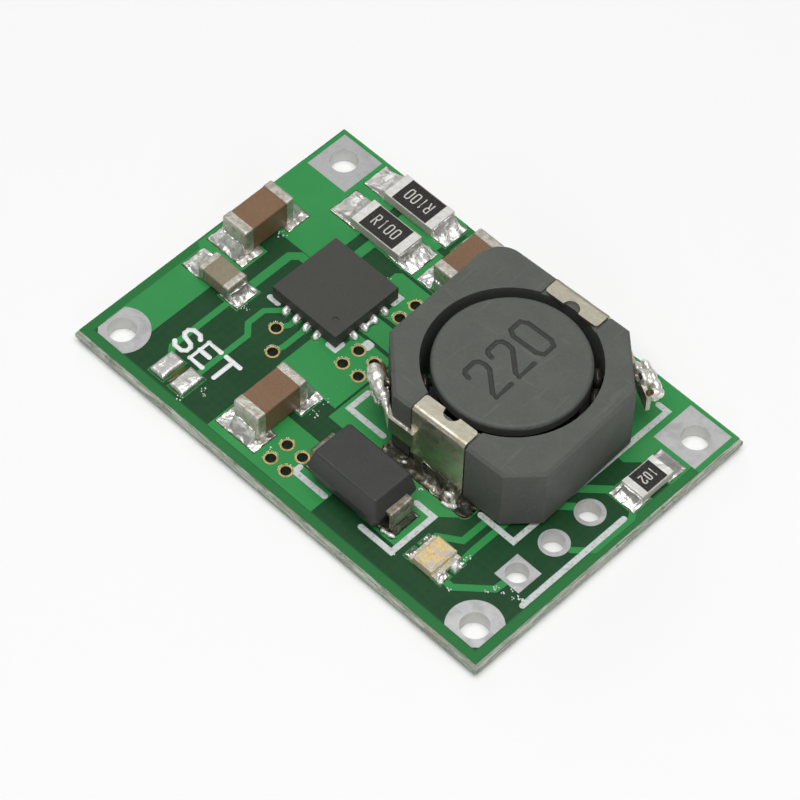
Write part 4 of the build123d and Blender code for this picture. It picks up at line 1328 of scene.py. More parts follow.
class Melt:
    """Melts overlapping lumps into one smooth uneven body with a geometry tree."""

    BAND_CELLS: ClassVar[float] = 4.0
    SMOOTHINGS: ClassVar[int] = 5
    RIPPLE_ZERO: ClassVar[float] = 0.42
    RIPPLE_GAIN: ClassVar[float] = 4.0
    BALL_DETAIL: ClassVar[int] = 3

    def __init__(self) -> None:
        """Build the tree, which works in millimetres: fuse, smooth, wobble, and scale down."""
        sheet, given = growth_tree("Melted lumps", {
            "Cell": 0.035, "Wobble": 0.04, "Wobbles per mm": 2.0})
        self.tree = sheet.tree
        cell = given.outputs["Cell"]
        cloud = sheet.result("GeometryNodeMeshToVolume", resolution_mode="VOXEL_SIZE", named={
            "Mesh": given.outputs["Geometry"], "Voxel Size": cell,
            "Interior Band Width": sheet.calc("MULTIPLY", cell, self.BAND_CELLS)})
        fused = sheet.result("GeometryNodeVolumeToMesh", resolution_mode="VOXEL_SIZE", named={
            "Volume": cloud, "Voxel Size": cell})
        even = sheet.result("GeometryNodeBlurAttribute", data_type="FLOAT_VECTOR", named={
            "Value": sheet.here(), "Iterations": self.SMOOTHINGS})
        smooth = sheet.move(fused, even)
        ripple = sheet.noise(sheet.here(), given.outputs["Wobbles per mm"], detail=1.0)
        push = sheet.calc("MULTIPLY", sheet.calc("SUBTRACT", ripple, self.RIPPLE_ZERO),
                          sheet.calc("MULTIPLY", given.outputs["Wobble"], self.RIPPLE_GAIN))
        outward = sheet.result("ShaderNodeVectorMath", sheet.result("GeometryNodeInputNormal"),
                               operation="SCALE", named={"Scale": push})
        uneven = sheet.result("GeometryNodeSetPosition", named={
            "Geometry": smooth, "Offset": outward})
        small = sheet.result("GeometryNodeTransform", named={
            "Geometry": uneven, "Scale": (MM, MM, MM)})
        close_tree(sheet, given, sheet.result("GeometryNodeSetShadeSmooth", small))

    def pour(self, name: str, drops: Sequence[Drop], finish: bpy.types.Material,
             wobble: float = 0.03, wobbles_per_mm: float = 2.0,
             cell: float = 0.035) -> bpy.types.Object:
        """Melt lumps into one piece.

        Args:
            name: Name of the piece.
            drops: The lumps, in millimetres.
            finish: The piece's material.
            wobble: Depth of its unevenness, in millimetres.
            wobbles_per_mm: How close the unevenness is.
            cell: Size of the melting cells, in millimetres.

        Returns:
            The piece.
        """
        seed = bmesh.new()
        for drop in drops:
            place = (Matrix.Translation(drop.middle)
                     @ Matrix.Rotation(math.radians(drop.turn), 4, "Z")
                     @ Matrix.Diagonal((*drop.radii, 1.0)))
            bmesh.ops.create_icosphere(seed, subdivisions=self.BALL_DETAIL, radius=1.0,
                                       matrix=place)
        mesh = bpy.data.meshes.new(name + "_lumps")
        seed.to_mesh(mesh)
        seed.free()
        return link(name, grow(name, mesh, self.tree, {
            "Finish": finish, "Cell": cell, "Wobble": wobble,
            "Wobbles per mm": wobbles_per_mm}))


@dataclass
class Workshop:
    """What every sub-assembly needs: the solid model's objects, the finishes and the tools."""

    nodes: dict[str, bpy.types.Object]
    finishes: FinishShelf
    pen: Pen = field(default_factory=Pen)
    scatter: Scatter = field(default_factory=Scatter)
    skin: SolderSkin = field(default_factory=SolderSkin)
    melt: Melt = field(default_factory=Melt)

    @staticmethod
    def box(name: str) -> tuple[Vector, Vector]:
        """Give a solid's lowest and highest corner.

        Args:
            name: Name of the solid.

        Returns:
            Both corners, in millimetres.
        """
        low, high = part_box(name)
        return Vector(low) / MM, Vector(high) / MM

    def top_middle(self, name: str) -> Vector:
        """Give the middle of a solid's top.

        Args:
            name: Name of the solid.

        Returns:
            The point, in millimetres.
        """
        low, high = self.box(name)
        return Vector(((low.x + high.x) / 2, (low.y + high.y) / 2, high.z))

    def dress(self, finish: str, solids: Sequence[str]) -> None:
        """Give several solids one finish.

        Args:
            finish: Name of the finish.
            solids: Names of the solids.
        """
        material = self.finishes.get(finish)
        for solid in solids:
            slots = self.nodes[solid].material_slots
            for slot in slots:
                slot.material = material
            if not slots:
                self.nodes[solid].data.materials.append(material)

    def coat(self, solid: str, finish: str, lumps: Lumps) -> None:
        """Let a lumpy skin stand for a solid of solder.

        Args:
            solid: Name of the solid.
            finish: Name of the finish.
            lumps: Sizes of the skin, in millimetres.
        """
        piece = self.skin.coat(f"{solid}_skin", self.nodes[solid], self.finishes.get(finish),
                               lumps)
        self.keep(piece, "solder")
        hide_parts(solid)

    def pour(self, name: str, finish: str, drops: Sequence[Drop], slot: str = "solder",
             **sizes: float) -> bpy.types.Object:
        """Melt lumps into one piece and keep it.

        Args:
            name: Name of the piece.
            finish: Name of its finish.
            drops: The lumps, in millimetres.
            slot: The record's material slot.
            **sizes: Wobble, wobbles per millimetre and cell, as Melt.pour takes them.

        Returns:
            The piece.
        """
        return self.keep(self.melt.pour(name, drops, self.finishes.get(finish), **sizes), slot)

    def strew(self, name: str, finish: str, points: Sequence[Vector], slot: str,
              grains: Grains) -> None:
        """Strew grains over points and keep them.

        Args:
            name: Name of the piece.
            finish: Name of its finish.
            points: Places in millimetres.
            slot: The record's material slot.
            grains: The grains' sizes and seed.
        """
        self.keep(self.scatter.strew(name, points, self.finishes.get(finish), grains), slot)

    def write(self, name: str, finish: str, text: str, slot: str, lettering: Lettering,
              place: Matrix) -> None:
        """Write one line of characters and keep it.

        Args:
            name: Name of the piece.
            finish: Name of its finish.
            text: The characters.
            slot: The record's material slot.
            lettering: How the characters are drawn.
            place: Where the middle of the line goes, in millimetres.
        """
        self.keep(self.pen.write(name, text, self.finishes.get(finish), lettering, place), slot)

    @staticmethod
    def keep(piece: bpy.types.Object, slot: str) -> bpy.types.Object:
        """Let a finished piece ride on the module.

        Args:
            piece: The piece.
            slot: Not used.

        Returns:
            The same piece.
        """
        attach(piece, "root")
        LOG.info("%s: %d faces", piece.name, len(piece.data.polygons))
        return piece


def placed(spot: Vector, turn: float, lift: float = 0.0) -> Matrix:
    """Give a place on an upward face.

    Args:
        spot: Point on the face.
        turn: Turn about the upright axis, in degrees.
        lift: Height above the point.

    Returns:
        The place as a matrix.
    """
    up = Vector((0, 0, lift))
    return Matrix.Translation(spot + up) @ Matrix.Rotation(math.radians(turn), 4, "Z")


def beside(x: float, y: float, reach: float, angle: float) -> tuple[float, float]:
    """Give a place beside another.

    Args:
        x: The other place along x.
        y: The other place along y.
        reach: Distance between them.
        angle: Direction to the new place, in radians.

    Returns:
        The new place.
    """
    return x + reach * math.cos(angle), y + reach * math.sin(angle)


# Sub-assemblies


@dataclass
class SubAssembly:
    """A group of pieces that is dressed and built together."""

    SOLIDS: ClassVar[dict[str, tuple[str, ...]]] = {}

    shop: Workshop

    def dress(self) -> None:
        """Give each solid its finish."""
        for finish, solids in self.SOLIDS.items():
            self.shop.dress(finish, solids)

    def build(self) -> None:
        """Add the pieces that the solid model doesn't have."""
        raise NotImplementedError


@dataclass
class Board(SubAssembly):
    """The printed board with its terminals, lacquer and legend.

    Each glint spot is its x, its y and how far its white specks spread; the specks are painted
    highlights on the lacquer. The fringe keeps the web inset from the laminate's faces, so that it
    grows out of the torn web and not out of the grooves.
    """

    SOLIDS: ClassVar[dict[str, tuple[str, ...]]] = {
        "glass_laminate": ("laminate",),
        "green_lacquer": ("top_mask",),
        "green_lacquer_below": ("bottom_mask",),
        "white_legend": ("legend",),
        "copper_foil": ("top_copper", "bottom_copper"),
        "tinned_pad": ("corner_terminals", "header_terminals"),
        "gold_ring": ("vias",),
    }

    label_middle: tuple[float, float] = (-7.37, -5.31)
    label: Lettering = Lettering(wide=0.86, high=1.18, gap=0.3, stroke=0.24, ink_t=0.01)
    fringe: Grains = Grains(share=0.75, smallest=0.012, largest=0.04, flatness=0.5, seed=11)
    fringe_seed: int = 7
    fringe_step: float = 0.07
    fringe_inset: float = 0.012
    web_inset: float = 0.26
    # White specks of painted highlight round each via, drawn in white ink.
    via_glints: Grains = Grains(share=0.7, smallest=0.022, largest=0.042, flatness=0.8, seed=5)
    glints_each: int = 12
    glint_reach: float = 0.37
    first_glint: float = 75.0
    glint_turn: float = 13.0
    glint_sink: float = 0.01
    # beads: white specks of painted glint on the lacquer beside the joints and along the tracks.
    beads: Grains = Grains(share=0.8, smallest=0.02, largest=0.048, flatness=0.9, seed=9)
    glint_seed: int = 21
    fewest_glints: int = 3
    glints_per_mm: float = 26.0
    glint_spots: tuple[tuple[float, float, float], ...] = (
        (-6.10, -6.70, 0.16), (-5.88, -6.86, 0.14), (8.92, -6.50, 0.12), (10.12, -5.36, 0.10),
        (10.26, -5.04, 0.10), (10.33, -4.88, 0.10), (10.72, -4.98, 0.10), (11.12, -4.86, 0.10),
        (11.32, -4.66, 0.12), (11.51, -4.62, 0.10), (8.33, -4.86, 0.10), (8.44, -4.62, 0.10),
        (4.48, -3.56, 0.16), (-7.53, 6.80, 0.04), (-7.50, 4.56, 0.04),
        (-4.79, 7.09, 0.04), (-5.73, 4.56, 0.04), (-9.90, 1.95, 0.25), (-8.05, -2.22, 0.25),
        (-1.84, -3.28, 0.22), (5.9, -6.75, 0.2), (11.7, 0.35, 0.2), (-6.48, -7.78, 0.2),
        (-1.75, -4.12, 0.3), (-1.69, -6.76, 0.1), (-4.71, 3.62, 0.12), (10.88, -4.5, 0.14))

    def build(self) -> None:
        """Add the label, the glass fringe, and white specks of painted highlight round vias and
        joints.
        """
        top = self.shop.box("top_mask")[1].z
        spot = Vector((*self.label_middle, top))
        self.shop.write("bridge_label", "bold_legend_and_glints", "SET", "legend_ink", self.label,
                        placed(spot, 0.0, self.label.ink_t / 2))
        self._fringe()
        self._via_glint_specks(top - self.glint_sink)
        self._strew_glints(top - self.glint_sink)

    def _fringe(self) -> None:
        """Let torn ends of glass stand out of the snapped edges, between the grooves."""
        low, high = self.shop.box("laminate")
        picker = random.Random(self.fringe_seed)
        points = []
        web_low, web_high = low.z + self.web_inset, high.z - self.web_inset
        for start, end in self._sides(low, high):
            steps = int((end - start).length / self.fringe_step)
            for number in range(steps):
                spot = start.lerp(end, (number + picker.random()) / steps)
                points.append(Vector((spot.x, spot.y, picker.uniform(web_low, web_high))))
        self.shop.strew("edge_fringe", "glass_laminate", points, "laminate", self.fringe)

    def _sides(self, low: Vector, high: Vector) -> list[tuple[Vector, Vector]]:
        """Give the four sides of a box's outline, a little inside it.

        Args:
            low: Lowest corner.
            high: Highest corner.

        Returns:
            Start and end of each side.
        """
        left, right = low.x + self.fringe_inset, high.x - self.fringe_inset
        front, rear = low.y + self.fringe_inset, high.y - self.fringe_inset
        corners = [Vector((left, front, 0)), Vector((right, front, 0)),
                   Vector((right, rear, 0)), Vector((left, rear, 0))]
        return list(zip(corners, corners[1:] + corners[:1]))

    def _via_glint_specks(self, height: float) -> None:
        """Leave a wreath of tiny white specks of painted highlight at each via's rear left side.

        Args:
            height: Height of the specks' middles.
        """
        points = []
        for part in loose_parts(self.shop.nodes["vias"]):
            xs = [vertex.co.x / MM for vertex in part.vertices]
            ys = [vertex.co.y / MM for vertex in part.vertices]
            bpy.data.meshes.remove(part)
            middle = Vector(((min(xs) + max(xs)) / 2, (min(ys) + max(ys)) / 2))
            for number in range(self.glints_each):
                angle = math.radians(self.first_glint + self.glint_turn * number)
                points.append(Vector((*beside(*middle, self.glint_reach, angle), height)))
        self.shop.strew("via_glint_dots", "bold_legend_and_glints", points, "solder", self.via_glints)

    def _strew_glints(self, height: float) -> None:
        """Strew tiny white specks, painted glints, on the lacquer beside the joints and along the
        tracks.

        Args:
            height: Height of the specks' middles.
        """
        picker = random.Random(self.glint_seed)
        points = []
        for x, y, spread in self.glint_spots:
            for _ in range(self.fewest_glints + int(spread * self.glints_per_mm)):
                angle = picker.uniform(0, 2 * math.pi)
                reach = spread * math.sqrt(picker.random())
                points.append(Vector((*beside(x, y, reach, angle), height)))
        self.shop.strew("stray_glint_specks", "bold_legend_and_glints", points, "solder", self.beads)


@dataclass
class Controller(SubAssembly):
    """The square controller chip."""

    SOLIDS: ClassVar[dict[str, tuple[str, ...]]] = {
        "mould_compound": ("controller_body",),
        "end_plating": ("controller_leads", "controller_slug"),
        "solder_joint": ("controller_solder",),
    }

    lumps: Lumps = Lumps(step=0.03, swell=0.03, per_mm=2.0, spill=0.02)
    leads: int = 4
    lead_pitch: float = 0.65
    bead_rise: float = 0.13
    front_beads: tuple[Drop, ...] = (
        Drop((-0.04, -0.12, 0.0), (0.14, 0.27, 0.15), 12),
        Drop((0.07, -0.26, -0.06), (0.11, 0.16, 0.12), -20))
    side_beads: tuple[Drop, ...] = (
        Drop((0.11, 0.04, 0.0), (0.27, 0.14, 0.15), -8),
        Drop((0.26, -0.05, -0.06), (0.15, 0.11, 0.12), 25))
    lead_bridge: Drop = Drop((0.16, 0.0, 0.0), (0.12, 0.36, 0.1))

    def build(self) -> None:
        """Lump the solder of the front and the right-hand leads.

        Two leads of the right-hand row are bridged by solder, as in the photograph.
        """
        shop = self.shop
        shop.coat("controller_solder", "solder_joint", self.lumps)
        low, high = shop.box("controller_body")
        middle = (low + high) / 2
        heel = low.z + self.bead_rise
        drops = []
        for number in range(self.leads):
            step = (number - (self.leads - 1) / 2) * self.lead_pitch
            drops += [bead.moved(middle.x + step, low.y, heel) for bead in self.front_beads]
            drops += [bead.moved(high.x, middle.y + step, heel) for bead in self.side_beads]
        drops.append(self.lead_bridge.moved(high.x, middle.y, heel))
        shop.pour("lead_solder_beads", "bright_bead_and_glint", drops, wobble=0.015, wobbles_per_mm=4.0,
                  cell=0.02)


@dataclass(frozen=True)
class Strap:
    """Where the solder sits on one strap: its middle and the strap's direction in degrees."""

    middle: tuple[float, float]
    turn: float

    def place(self, *lumps: Lump) -> list[Drop]:
        """Place lumps on the strap.

        Args:
            *lumps: For each lump its place along the strap towards the tip, away from the
                shield and above the floor, and then its radii in the same order.

        Returns:
            The placed lumps.
        """
        angle = math.radians(self.turn)
        x, y = self.middle
        return [Drop((x + along * math.cos(angle) - out * math.sin(angle),
                      y + along * math.sin(angle) + out * math.cos(angle), height),
                     tuple(radii), self.turn)
                for along, out, height, *radii in lumps]


FRONT_STRAP = Strap(middle=(0.50, -2.28), turn=145.0)
REAR_STRAP = Strap(middle=(8.17, 6.56), turn=-28.5)


@dataclass
class Inductor(SubAssembly):
    """The shielded inductor."""

    SOLIDS: ClassVar[dict[str, tuple[str, ...]]] = {
        "ferrite": ("inductor_shield", "inductor_drum"),
        "enamelled_wire": ("inductor_winding",),
        "clip_sheet": ("inductor_front_clip", "inductor_rear_clip"),
        "fluxed_and_shaded_joint": ("inductor_solder",),
        "strap_joint": ("inductor_strap_solder",),
    }

    turn: float = 2.5
    lumps: Lumps = Lumps(step=0.034, swell=0.07, per_mm=1.6, spill=0.04)
    value: Lettering = Lettering(wide=1.02, high=1.95, gap=0.48, stroke=0.25, ink_t=0.006)
    value_shift: tuple[float, float] = (-0.2, 0.03)
    wire_z: float = 3.2
    # Dark dabs in the shield's notches: painted shade that hides the light coming through.
    notch_shade_reach: float = 3.78
    notch_shade_radii: tuple[float, float, float] = (0.26, 0.52, 0.5)
    notch_shade_turns: tuple[float, ...] = (228.0, 48.0, 31.0)
    strap_solder: tuple[Drop, ...] = (
        *FRONT_STRAP.place(
            (0.98, 0.06, 3.20, 0.32, 0.34, 0.34), (0.60, 0.04, 3.20, 0.44, 0.42, 0.38),
            (0.16, -0.02, 3.10, 0.40, 0.36, 0.42), (-0.20, -0.06, 3.02, 0.30, 0.28, 0.36),
            (-0.48, -0.10, 3.14, 0.26, 0.28, 0.30), (-0.80, -0.14, 3.08, 0.26, 0.20, 0.24),
            (-1.10, -0.14, 3.02, 0.24, 0.10, 0.12), (-1.36, -0.12, 3.04, 0.12, 0.08, 0.08),
            (0.38, 0.26, 2.84, 0.14, 0.12, 0.34), (0.20, 0.26, 2.50, 0.16, 0.10, 0.14),
            (-0.10, 0.18, 2.44, 0.24, 0.09, 0.09), (-0.36, 0.06, 2.52, 0.16, 0.09, 0.16)),
        *REAR_STRAP.place(
            (-0.42, 0.20, 3.00, 0.48, 0.24, 0.36), (0.10, 0.26, 3.00, 0.50, 0.26, 0.38),
            (0.60, 0.28, 2.95, 0.44, 0.27, 0.38), (0.95, 0.12, 2.90, 0.28, 0.38, 0.34),
            (0.92, 0.40, 2.84, 0.24, 0.18, 0.28), (-0.50, -0.18, 2.92, 0.44, 0.22, 0.30),
            (0.10, -0.14, 3.06, 0.46, 0.28, 0.44), (1.00, -0.15, 2.48, 0.12, 0.10, 0.30)))
    strap_burns: tuple[Drop, ...] = (
        *FRONT_STRAP.place((0.98, -0.32, 3.24, 0.32, 0.18, 0.20),
                           (0.66, -0.34, 3.14, 0.30, 0.18, 0.26)),
        *REAR_STRAP.place((0.97, -0.10, 3.14, 0.18, 0.22, 0.16)))
    # Dark lumps in the hollow between each strap and the shield: painted shade.
    strap_hollow_shade: tuple[Drop, ...] = (
        *FRONT_STRAP.place((0.22, -0.38, 3.10, 0.46, 0.20, 0.34),
                           (0.12, -0.44, 3.26, 0.26, 0.26, 0.24)),
        *REAR_STRAP.place((0.10, -0.46, 3.24, 0.26, 0.26, 0.24)),
        *FRONT_STRAP.place((-0.16, -0.34, 3.02, 0.36, 0.18, 0.30)),
        *REAR_STRAP.place((-0.20, -0.40, 3.02, 0.36, 0.16, 0.30)))
    # A thin white strip on the front clip's rim: a painted glint where the strap's edge catches
    # the light.
    rim_glint: tuple[Drop, ...] = (
        Drop((2.40, -2.95, 3.08), (0.46, 0.05, 0.04), 3),
        Drop((2.84, -2.95, 3.09), (0.08, 0.08, 0.07)),
        Drop((2.02, -2.97, 3.09), (0.14, 0.06, 0.05), -8))
    foot_solder: tuple[Drop, ...] = (
        Drop((3.02, -3.20, 0.99), (0.15, 0.12, 0.11), 30),
        Drop((5.58, -3.07, 0.99), (0.24, 0.14, 0.13), 10),
        Drop((5.82, -3.46, 0.88), (0.30, 0.11, 0.08), 12),
        Drop((6.10, -3.32, 0.93), (0.24, 0.14, 0.11), 30))
    foot_flux: tuple[Drop, ...] = (
        Drop((6.48, -3.00, 1.02), (0.32, 0.30, 0.26)),
        Drop((6.70, -3.08, 0.92), (0.24, 0.22, 0.16)))

    def build(self) -> None:
        """Lump the solder, dab dark painted shade into the shield's notches and burn the value
        into the drum's top.
        """
        shop = self.shop
        shop.coat("inductor_solder", "fluxed_and_shaded_joint", self.lumps)
        self._straps()
        shop.pour("foot_drops", "bright_bead_and_glint", self.foot_solder, wobbles_per_mm=4.0, cell=0.025)
        shop.pour("foot_charring", "charred_flux_and_shade", self.foot_flux, wobble=0.05,
                  wobbles_per_mm=3.0)
        core = shop.top_middle("inductor_drum")
        self._notch_shade(core)
        shop.write("inductor_value", "burnt_marking", "220", "ferrite", self.value,
                   placed(core + Vector((*self.value_shift, 0)), 90 + self.turn))

    def _straps(self) -> None:
        """Melt lumpy, dripping solder over the wire ends with burnt flux beside it, dark lumps of
        painted shade in the hollows between straps and shield, and a thin white painted glint
        along the front clip's rim.
        """
        shop = self.shop
        piece = shop.pour("strap_solder_drips", "strap_joint", self.strap_solder,
                          wobbles_per_mm=2.2)
        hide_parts("inductor_strap_solder")
        shop.pour("burnt_flux", "burnt_flux", self.strap_burns, wobbles_per_mm=3.0)
        shop.pour("strap_hollow_shading", "fluxed_and_shaded_joint", self.strap_hollow_shade, wobbles_per_mm=3.0)
        shop.pour("strap_rim_glint", "bright_bead_and_glint", self.rim_glint, wobble=0.01,
                  wobbles_per_mm=4.0, cell=0.018)

    def _notch_shade(self, core: Vector) -> None:
        """Dab dark lumps round the wires where they leave the shield: painted shade that closes
        the notches against the light.

        Args:
            core: Middle of the drum's top.
        """
        dabs = [Drop((*beside(core.x, core.y, self.notch_shade_reach, math.radians(turn)),
                      self.wire_z), self.notch_shade_radii, turn) for turn in self.notch_shade_turns]
        self.shop.pour("notch_shade_dabs", "charred_flux_and_shade", dabs, "ferrite", cell=0.05)


BROWN_CAPACITORS = ("input_capacitor", "output_capacitor", "rear_capacitor")
CAPACITORS = (*BROWN_CAPACITORS, "small_capacitor")
RESISTORS = ("front_sense_resistor", "rear_sense_resistor", "lamp_resistor")


def each(chips: Sequence[str], part: str) -> tuple[str, ...]:
    """Name the same part of several chips.

    Args:
        chips: Names of the chips.
        part: What the part is called.

    Returns:
        Names of the solids.
    """
    return tuple(f"{chip}_{part}" for chip in chips)


@dataclass
class Chips(SubAssembly):
    """The capacitors and resistors, and the solder bridge."""

    SOLIDS: ClassVar[dict[str, tuple[str, ...]]] = {
        "brown_ceramic": each(BROWN_CAPACITORS, "body"),
        "tan_ceramic": ("small_capacitor_body",),
        "alumina": each(RESISTORS, "slab"),
        "black_glaze": each(RESISTORS, "glaze"),
        "end_plating": each(CAPACITORS, "ends"),
        "resistor_end": each(RESISTORS, "ends"),
        "solder_joint": ("capacitor_solder", "resistor_solder", "bridge_solder"),
    }

    capacitor_lumps: Lumps = Lumps(step=0.04, swell=0.06, per_mm=1.8, spill=0.03)
    resistor_lumps: Lumps = Lumps(step=0.04, swell=0.04, per_mm=1.6, spill=0.03)
    bridge_lumps: Lumps = Lumps(step=0.04, swell=0.03, per_mm=1.2, spill=0.02)
    flux_radii: tuple[float, float, float] = (0.15, 0.66, 0.05)
    flux_rise: float = 0.02
    sense: Lettering = Lettering(wide=0.24, high=0.6, gap=0.16, stroke=0.07, ink_t=0.006)
    small: Lettering = Lettering(wide=0.17, high=0.44, gap=0.14, stroke=0.07, ink_t=0.006)

    def build(self) -> None:
        """Lump the solder and print each resistor's value on its glaze."""
        shop = self.shop
        shop.coat("capacitor_solder", "solder_joint", self.capacitor_lumps)
        shop.coat("resistor_solder", "solder_joint", self.resistor_lumps)
        shop.coat("bridge_solder", "solder_joint", self.bridge_lumps)
        low, high = shop.box("bridge_solder")
        strip = Drop(((low.x + high.x) / 2, (low.y + high.y) / 2, low.z + self.flux_rise),
                     self.flux_radii)
        shop.pour("bridge_flux", "flux_film", [strip], wobble=0.01, wobbles_per_mm=4.0, cell=0.02)
        for chip, text, turn, lettering in (
                ("front_sense_resistor", "R100", 0.0, self.sense),
                ("rear_sense_resistor", "R100", 180.0, self.sense),
                ("lamp_resistor", "102", -90.0, self.small)):
            shop.write(f"{chip}_value", "pale_marking", text, "legend_ink", lettering,
                       placed(shop.top_middle(f"{chip}_glaze"), turn))


@dataclass
class Diode(SubAssembly):
    """The moulded diode."""

    SOLIDS: ClassVar[dict[str, tuple[str, ...]]] = {
        "dark_mould": ("diode_body",),
        "lead_sheet": ("diode_cathode_lead", "diode_anode_lead"),
        "solder_joint": ("diode_solder",),
    }

    lumps: Lumps = Lumps(step=0.04, swell=0.08, per_mm=1.6, spill=0.03)
    beads: tuple[Drop, ...] = (
        Drop((4.87, -6.39, 0.93), (0.13, 0.12, 0.09)),
        Drop((5.30, -6.32, 0.92), (0.22, 0.11, 0.09), 10),
        Drop((5.08, -6.36, 0.88), (0.2, 0.08, 0.06)))

    def build(self) -> None:
        """Lump the solder and leave bright beads at the front lead."""
        self.shop.coat("diode_solder", "fluxed_and_shaded_joint", self.lumps)
        self.shop.pour("diode_solder_beads", "bright_bead_and_glint", self.beads, wobble=0.02,
                       wobbles_per_mm=4.0, cell=0.022)


@dataclass
class Lamp(SubAssembly):
    """The small square lamp."""

    SOLIDS: ClassVar[dict[str, tuple[str, ...]]] = {
        "lamp_board": ("lamp_base",),
        "end_plating": ("lamp_ends",),
        "lamp_resin": ("lamp_lens",),
        "solder_joint": ("lamp_solder",),
    }

    lumps: Lumps = Lumps(step=0.03, swell=0.12, per_mm=2.4, spill=0.03)
    beads: tuple[Drop, ...] = (
        Drop((8.27, -6.36, 0.92), (0.2, 0.2, 0.13)),
        Drop((8.46, -6.5, 0.88), (0.14, 0.12, 0.1)),
        Drop((8.30, -5.46, 0.92), (0.2, 0.19, 0.13)),
        Drop((8.46, -5.34, 0.88), (0.16, 0.12, 0.1)))
    die: tuple[float, float, float] = (0.3, 0.3, 0.1)
    bond_pad: tuple[float, float, float] = (0.42, 0.588, 0.02)
    die_shift: float = -0.12
    floor_rise: float = 0.01
    die_rise: float = 0.03
    bevel: float = 0.2

    def build(self) -> None:
        """Lump the solder, and put the lamp's chip and its gold pad inside the resin."""
        shop = self.shop
        shop.coat("lamp_solder", "solder_joint", self.lumps)
        shop.pour("lamp_solder_beads", "bright_bead_and_glint", self.beads, wobble=0.05,
                  wobbles_per_mm=4.0, cell=0.022)
        low, high = shop.box("lamp_lens")
        middle = (low + high) / 2
        x = middle.x + self.die_shift
        floor = low.z + self.floor_rise
        self._tile("lamp_bond_pad", Vector((x, middle.y, floor + self.bond_pad[2] / 2)),
                   self.bond_pad, "gold_ring", "bare_ring")
        self._tile("lamp_die", Vector((x, middle.y, floor + self.die_rise + self.die[2] / 2)),
                   self.die, "lamp_die", "lamp_resin")

    def _tile(self, name: str, spot: Vector, size: tuple[float, float, float], finish: str,
              slot: str) -> None:
        """Make a small bevelled tile.

        Args:
            name: Name of the piece.
            spot: Its middle, in millimetres.
            size: Its sides, in millimetres.
            finish: Name of its finish.
            slot: The record's material slot.
        """
        shape = bmesh.new()
        bmesh.ops.create_cube(shape, size=1.0)
        bmesh.ops.transform(shape, matrix=Matrix.Diagonal((*(side * MM for side in size), 1)),
                            verts=shape.verts)
        bmesh.ops.bevel(shape, geom=shape.edges[:], offset=min(size) * self.bevel * MM,
                        segments=2, affect="EDGES")
        bmesh.ops.translate(shape, verts=shape.verts, vec=spot * MM)
        mesh = bpy.data.meshes.new(name)
        shape.to_mesh(mesh)
        shape.free()
        mesh.materials.append(self.shop.finishes.get(finish))
        self.shop.keep(link(name, mesh), slot)


# Studio


@dataclass(frozen=True)
class SoftLight:
    """One round soft light: its place, its width and its power in watts."""

    name: str
    spot: tuple[float, float, float]
    width: float
    power: float


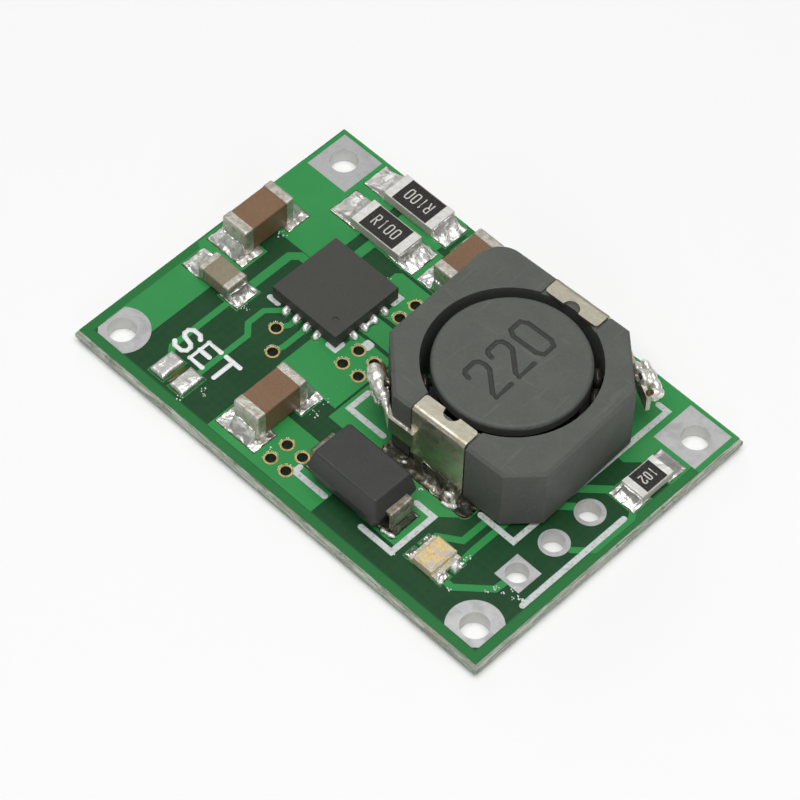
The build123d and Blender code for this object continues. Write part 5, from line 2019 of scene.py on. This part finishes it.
@dataclass
class Studio:
    """Plain pale floor, soft lights and the camera."""

    azimuth: float = 43.007
    elevation: float = 54.126
    roll: float = 2.101
    aim_shift: tuple[float, float] = (0.295, 0.744)
    aim_height: float = 0.8
    distance: float = 171.547
    focal_px: float = 3859.592
    frame_px: float = 800.0
    film: float = 36.0
    clip_start: float = 1.0
    floor_side: float = 3000.0
    floor_gap: float = 0.02
    room_glow: float = 0.26
    lights: tuple[SoftLight, ...] = (
        SoftLight("overhead", spot=(25, -25, 300), width=300, power=0.78),
        SoftLight("rear_left", spot=(-260, 160, 160), width=140, power=0.07),
        SoftLight("front_right", spot=(220, -200, 130), width=120, power=0.05))

    def build(self) -> None:
        """Set up everything round the object."""
        self._floor()
        self._lights()
        self._camera()
        bpy.context.scene.view_settings.view_transform = "Standard"

    def _floor(self) -> None:
        """Lay the floor a hair under the board, so that they don't share a plane."""
        half = self.floor_side / 2 * MM
        depth = -self.floor_gap * MM
        mesh = bpy.data.meshes.new("floor")
        mesh.from_pydata([(-half, -half, depth), (half, -half, depth), (half, half, depth),
                          (-half, half, depth)], [], [(0, 1, 2, 3)])
        surface = Surface("pale_floor")
        sheet = surface.sheet
        cloud = sheet.calc("MULTIPLY", sheet.noise(surface.place, 0.01, detail=2.0), 0.1)
        surface.set(Base_Color=sheet.mix(cloud, paint(252, 252, 252), paint(246, 246, 246)),
                    Roughness=0.7)
        mesh.materials.append(surface.material)
        link("floor", mesh)

    def _lights(self) -> None:
        """Hang the soft lights and tint the room."""
        for light in self.lights:
            lamp = bpy.data.lights.new(light.name, "AREA")
            lamp.shape = "DISK"
            lamp.size = light.width * MM
            lamp.energy = light.power
            holder = link(light.name, lamp)
            place = Vector(light.spot) * MM
            holder.matrix_world = (Matrix.Translation(place)
                                   @ place.to_track_quat("Z", "Y").to_matrix().to_4x4())
        world = bpy.data.worlds.new("room")
        bpy.context.scene.world = world
        world.use_nodes = True
        backdrop = world.node_tree.nodes["Background"]
        backdrop.inputs["Color"].default_value = (1.0, 1.0, 1.0, 1.0)
        backdrop.inputs["Strength"].default_value = self.room_glow

    def _camera(self) -> None:
        """Stand the camera where the photograph was taken."""
        turn, lift, tilt = (math.radians(angle)
                            for angle in (self.azimuth, self.elevation, self.roll))
        back = Vector((math.sin(turn) * math.cos(lift), -math.cos(turn) * math.cos(lift),
                       math.sin(lift)))
        right = Vector((0, 0, 1)).cross(back).normalized()
        up = back.cross(right)
        right, up = (right * math.cos(tilt) + up * math.sin(tilt),
                     up * math.cos(tilt) - right * math.sin(tilt))
        across, along = self.aim_shift
        spot = Vector((0, 0, self.aim_height)) - right * across - up * along
        spot += back * self.distance
        lens = bpy.data.cameras.new("camera")
        lens.sensor_width = self.film
        lens.lens = self.focal_px * self.film / self.frame_px
        lens.clip_start = self.clip_start * MM
        camera = link("camera", lens)
        axes = Matrix((right, up, back)).transposed().to_4x4()
        camera.matrix_world = Matrix.Translation(spot * MM) @ axes
        bpy.context.scene.camera = camera


def main() -> None:
    """Dress the module, add its small pieces and set up the studio."""
    logging.basicConfig(level=logging.INFO, format="%(name)s: %(message)s")
    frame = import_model()
    finishes = board_finishes() + metal_finishes() + stone_finishes()
    shop = Workshop(frame["nodes"], FinishShelf(finishes))
    for part in (Board(shop), Controller(shop), Inductor(shop), Chips(shop), Diode(shop),
                 Lamp(shop)):
        part.dress()
        part.build()
        LOG.info("%s done", type(part).__name__)
    Studio().build()


if __name__ == "__main__":
    main()
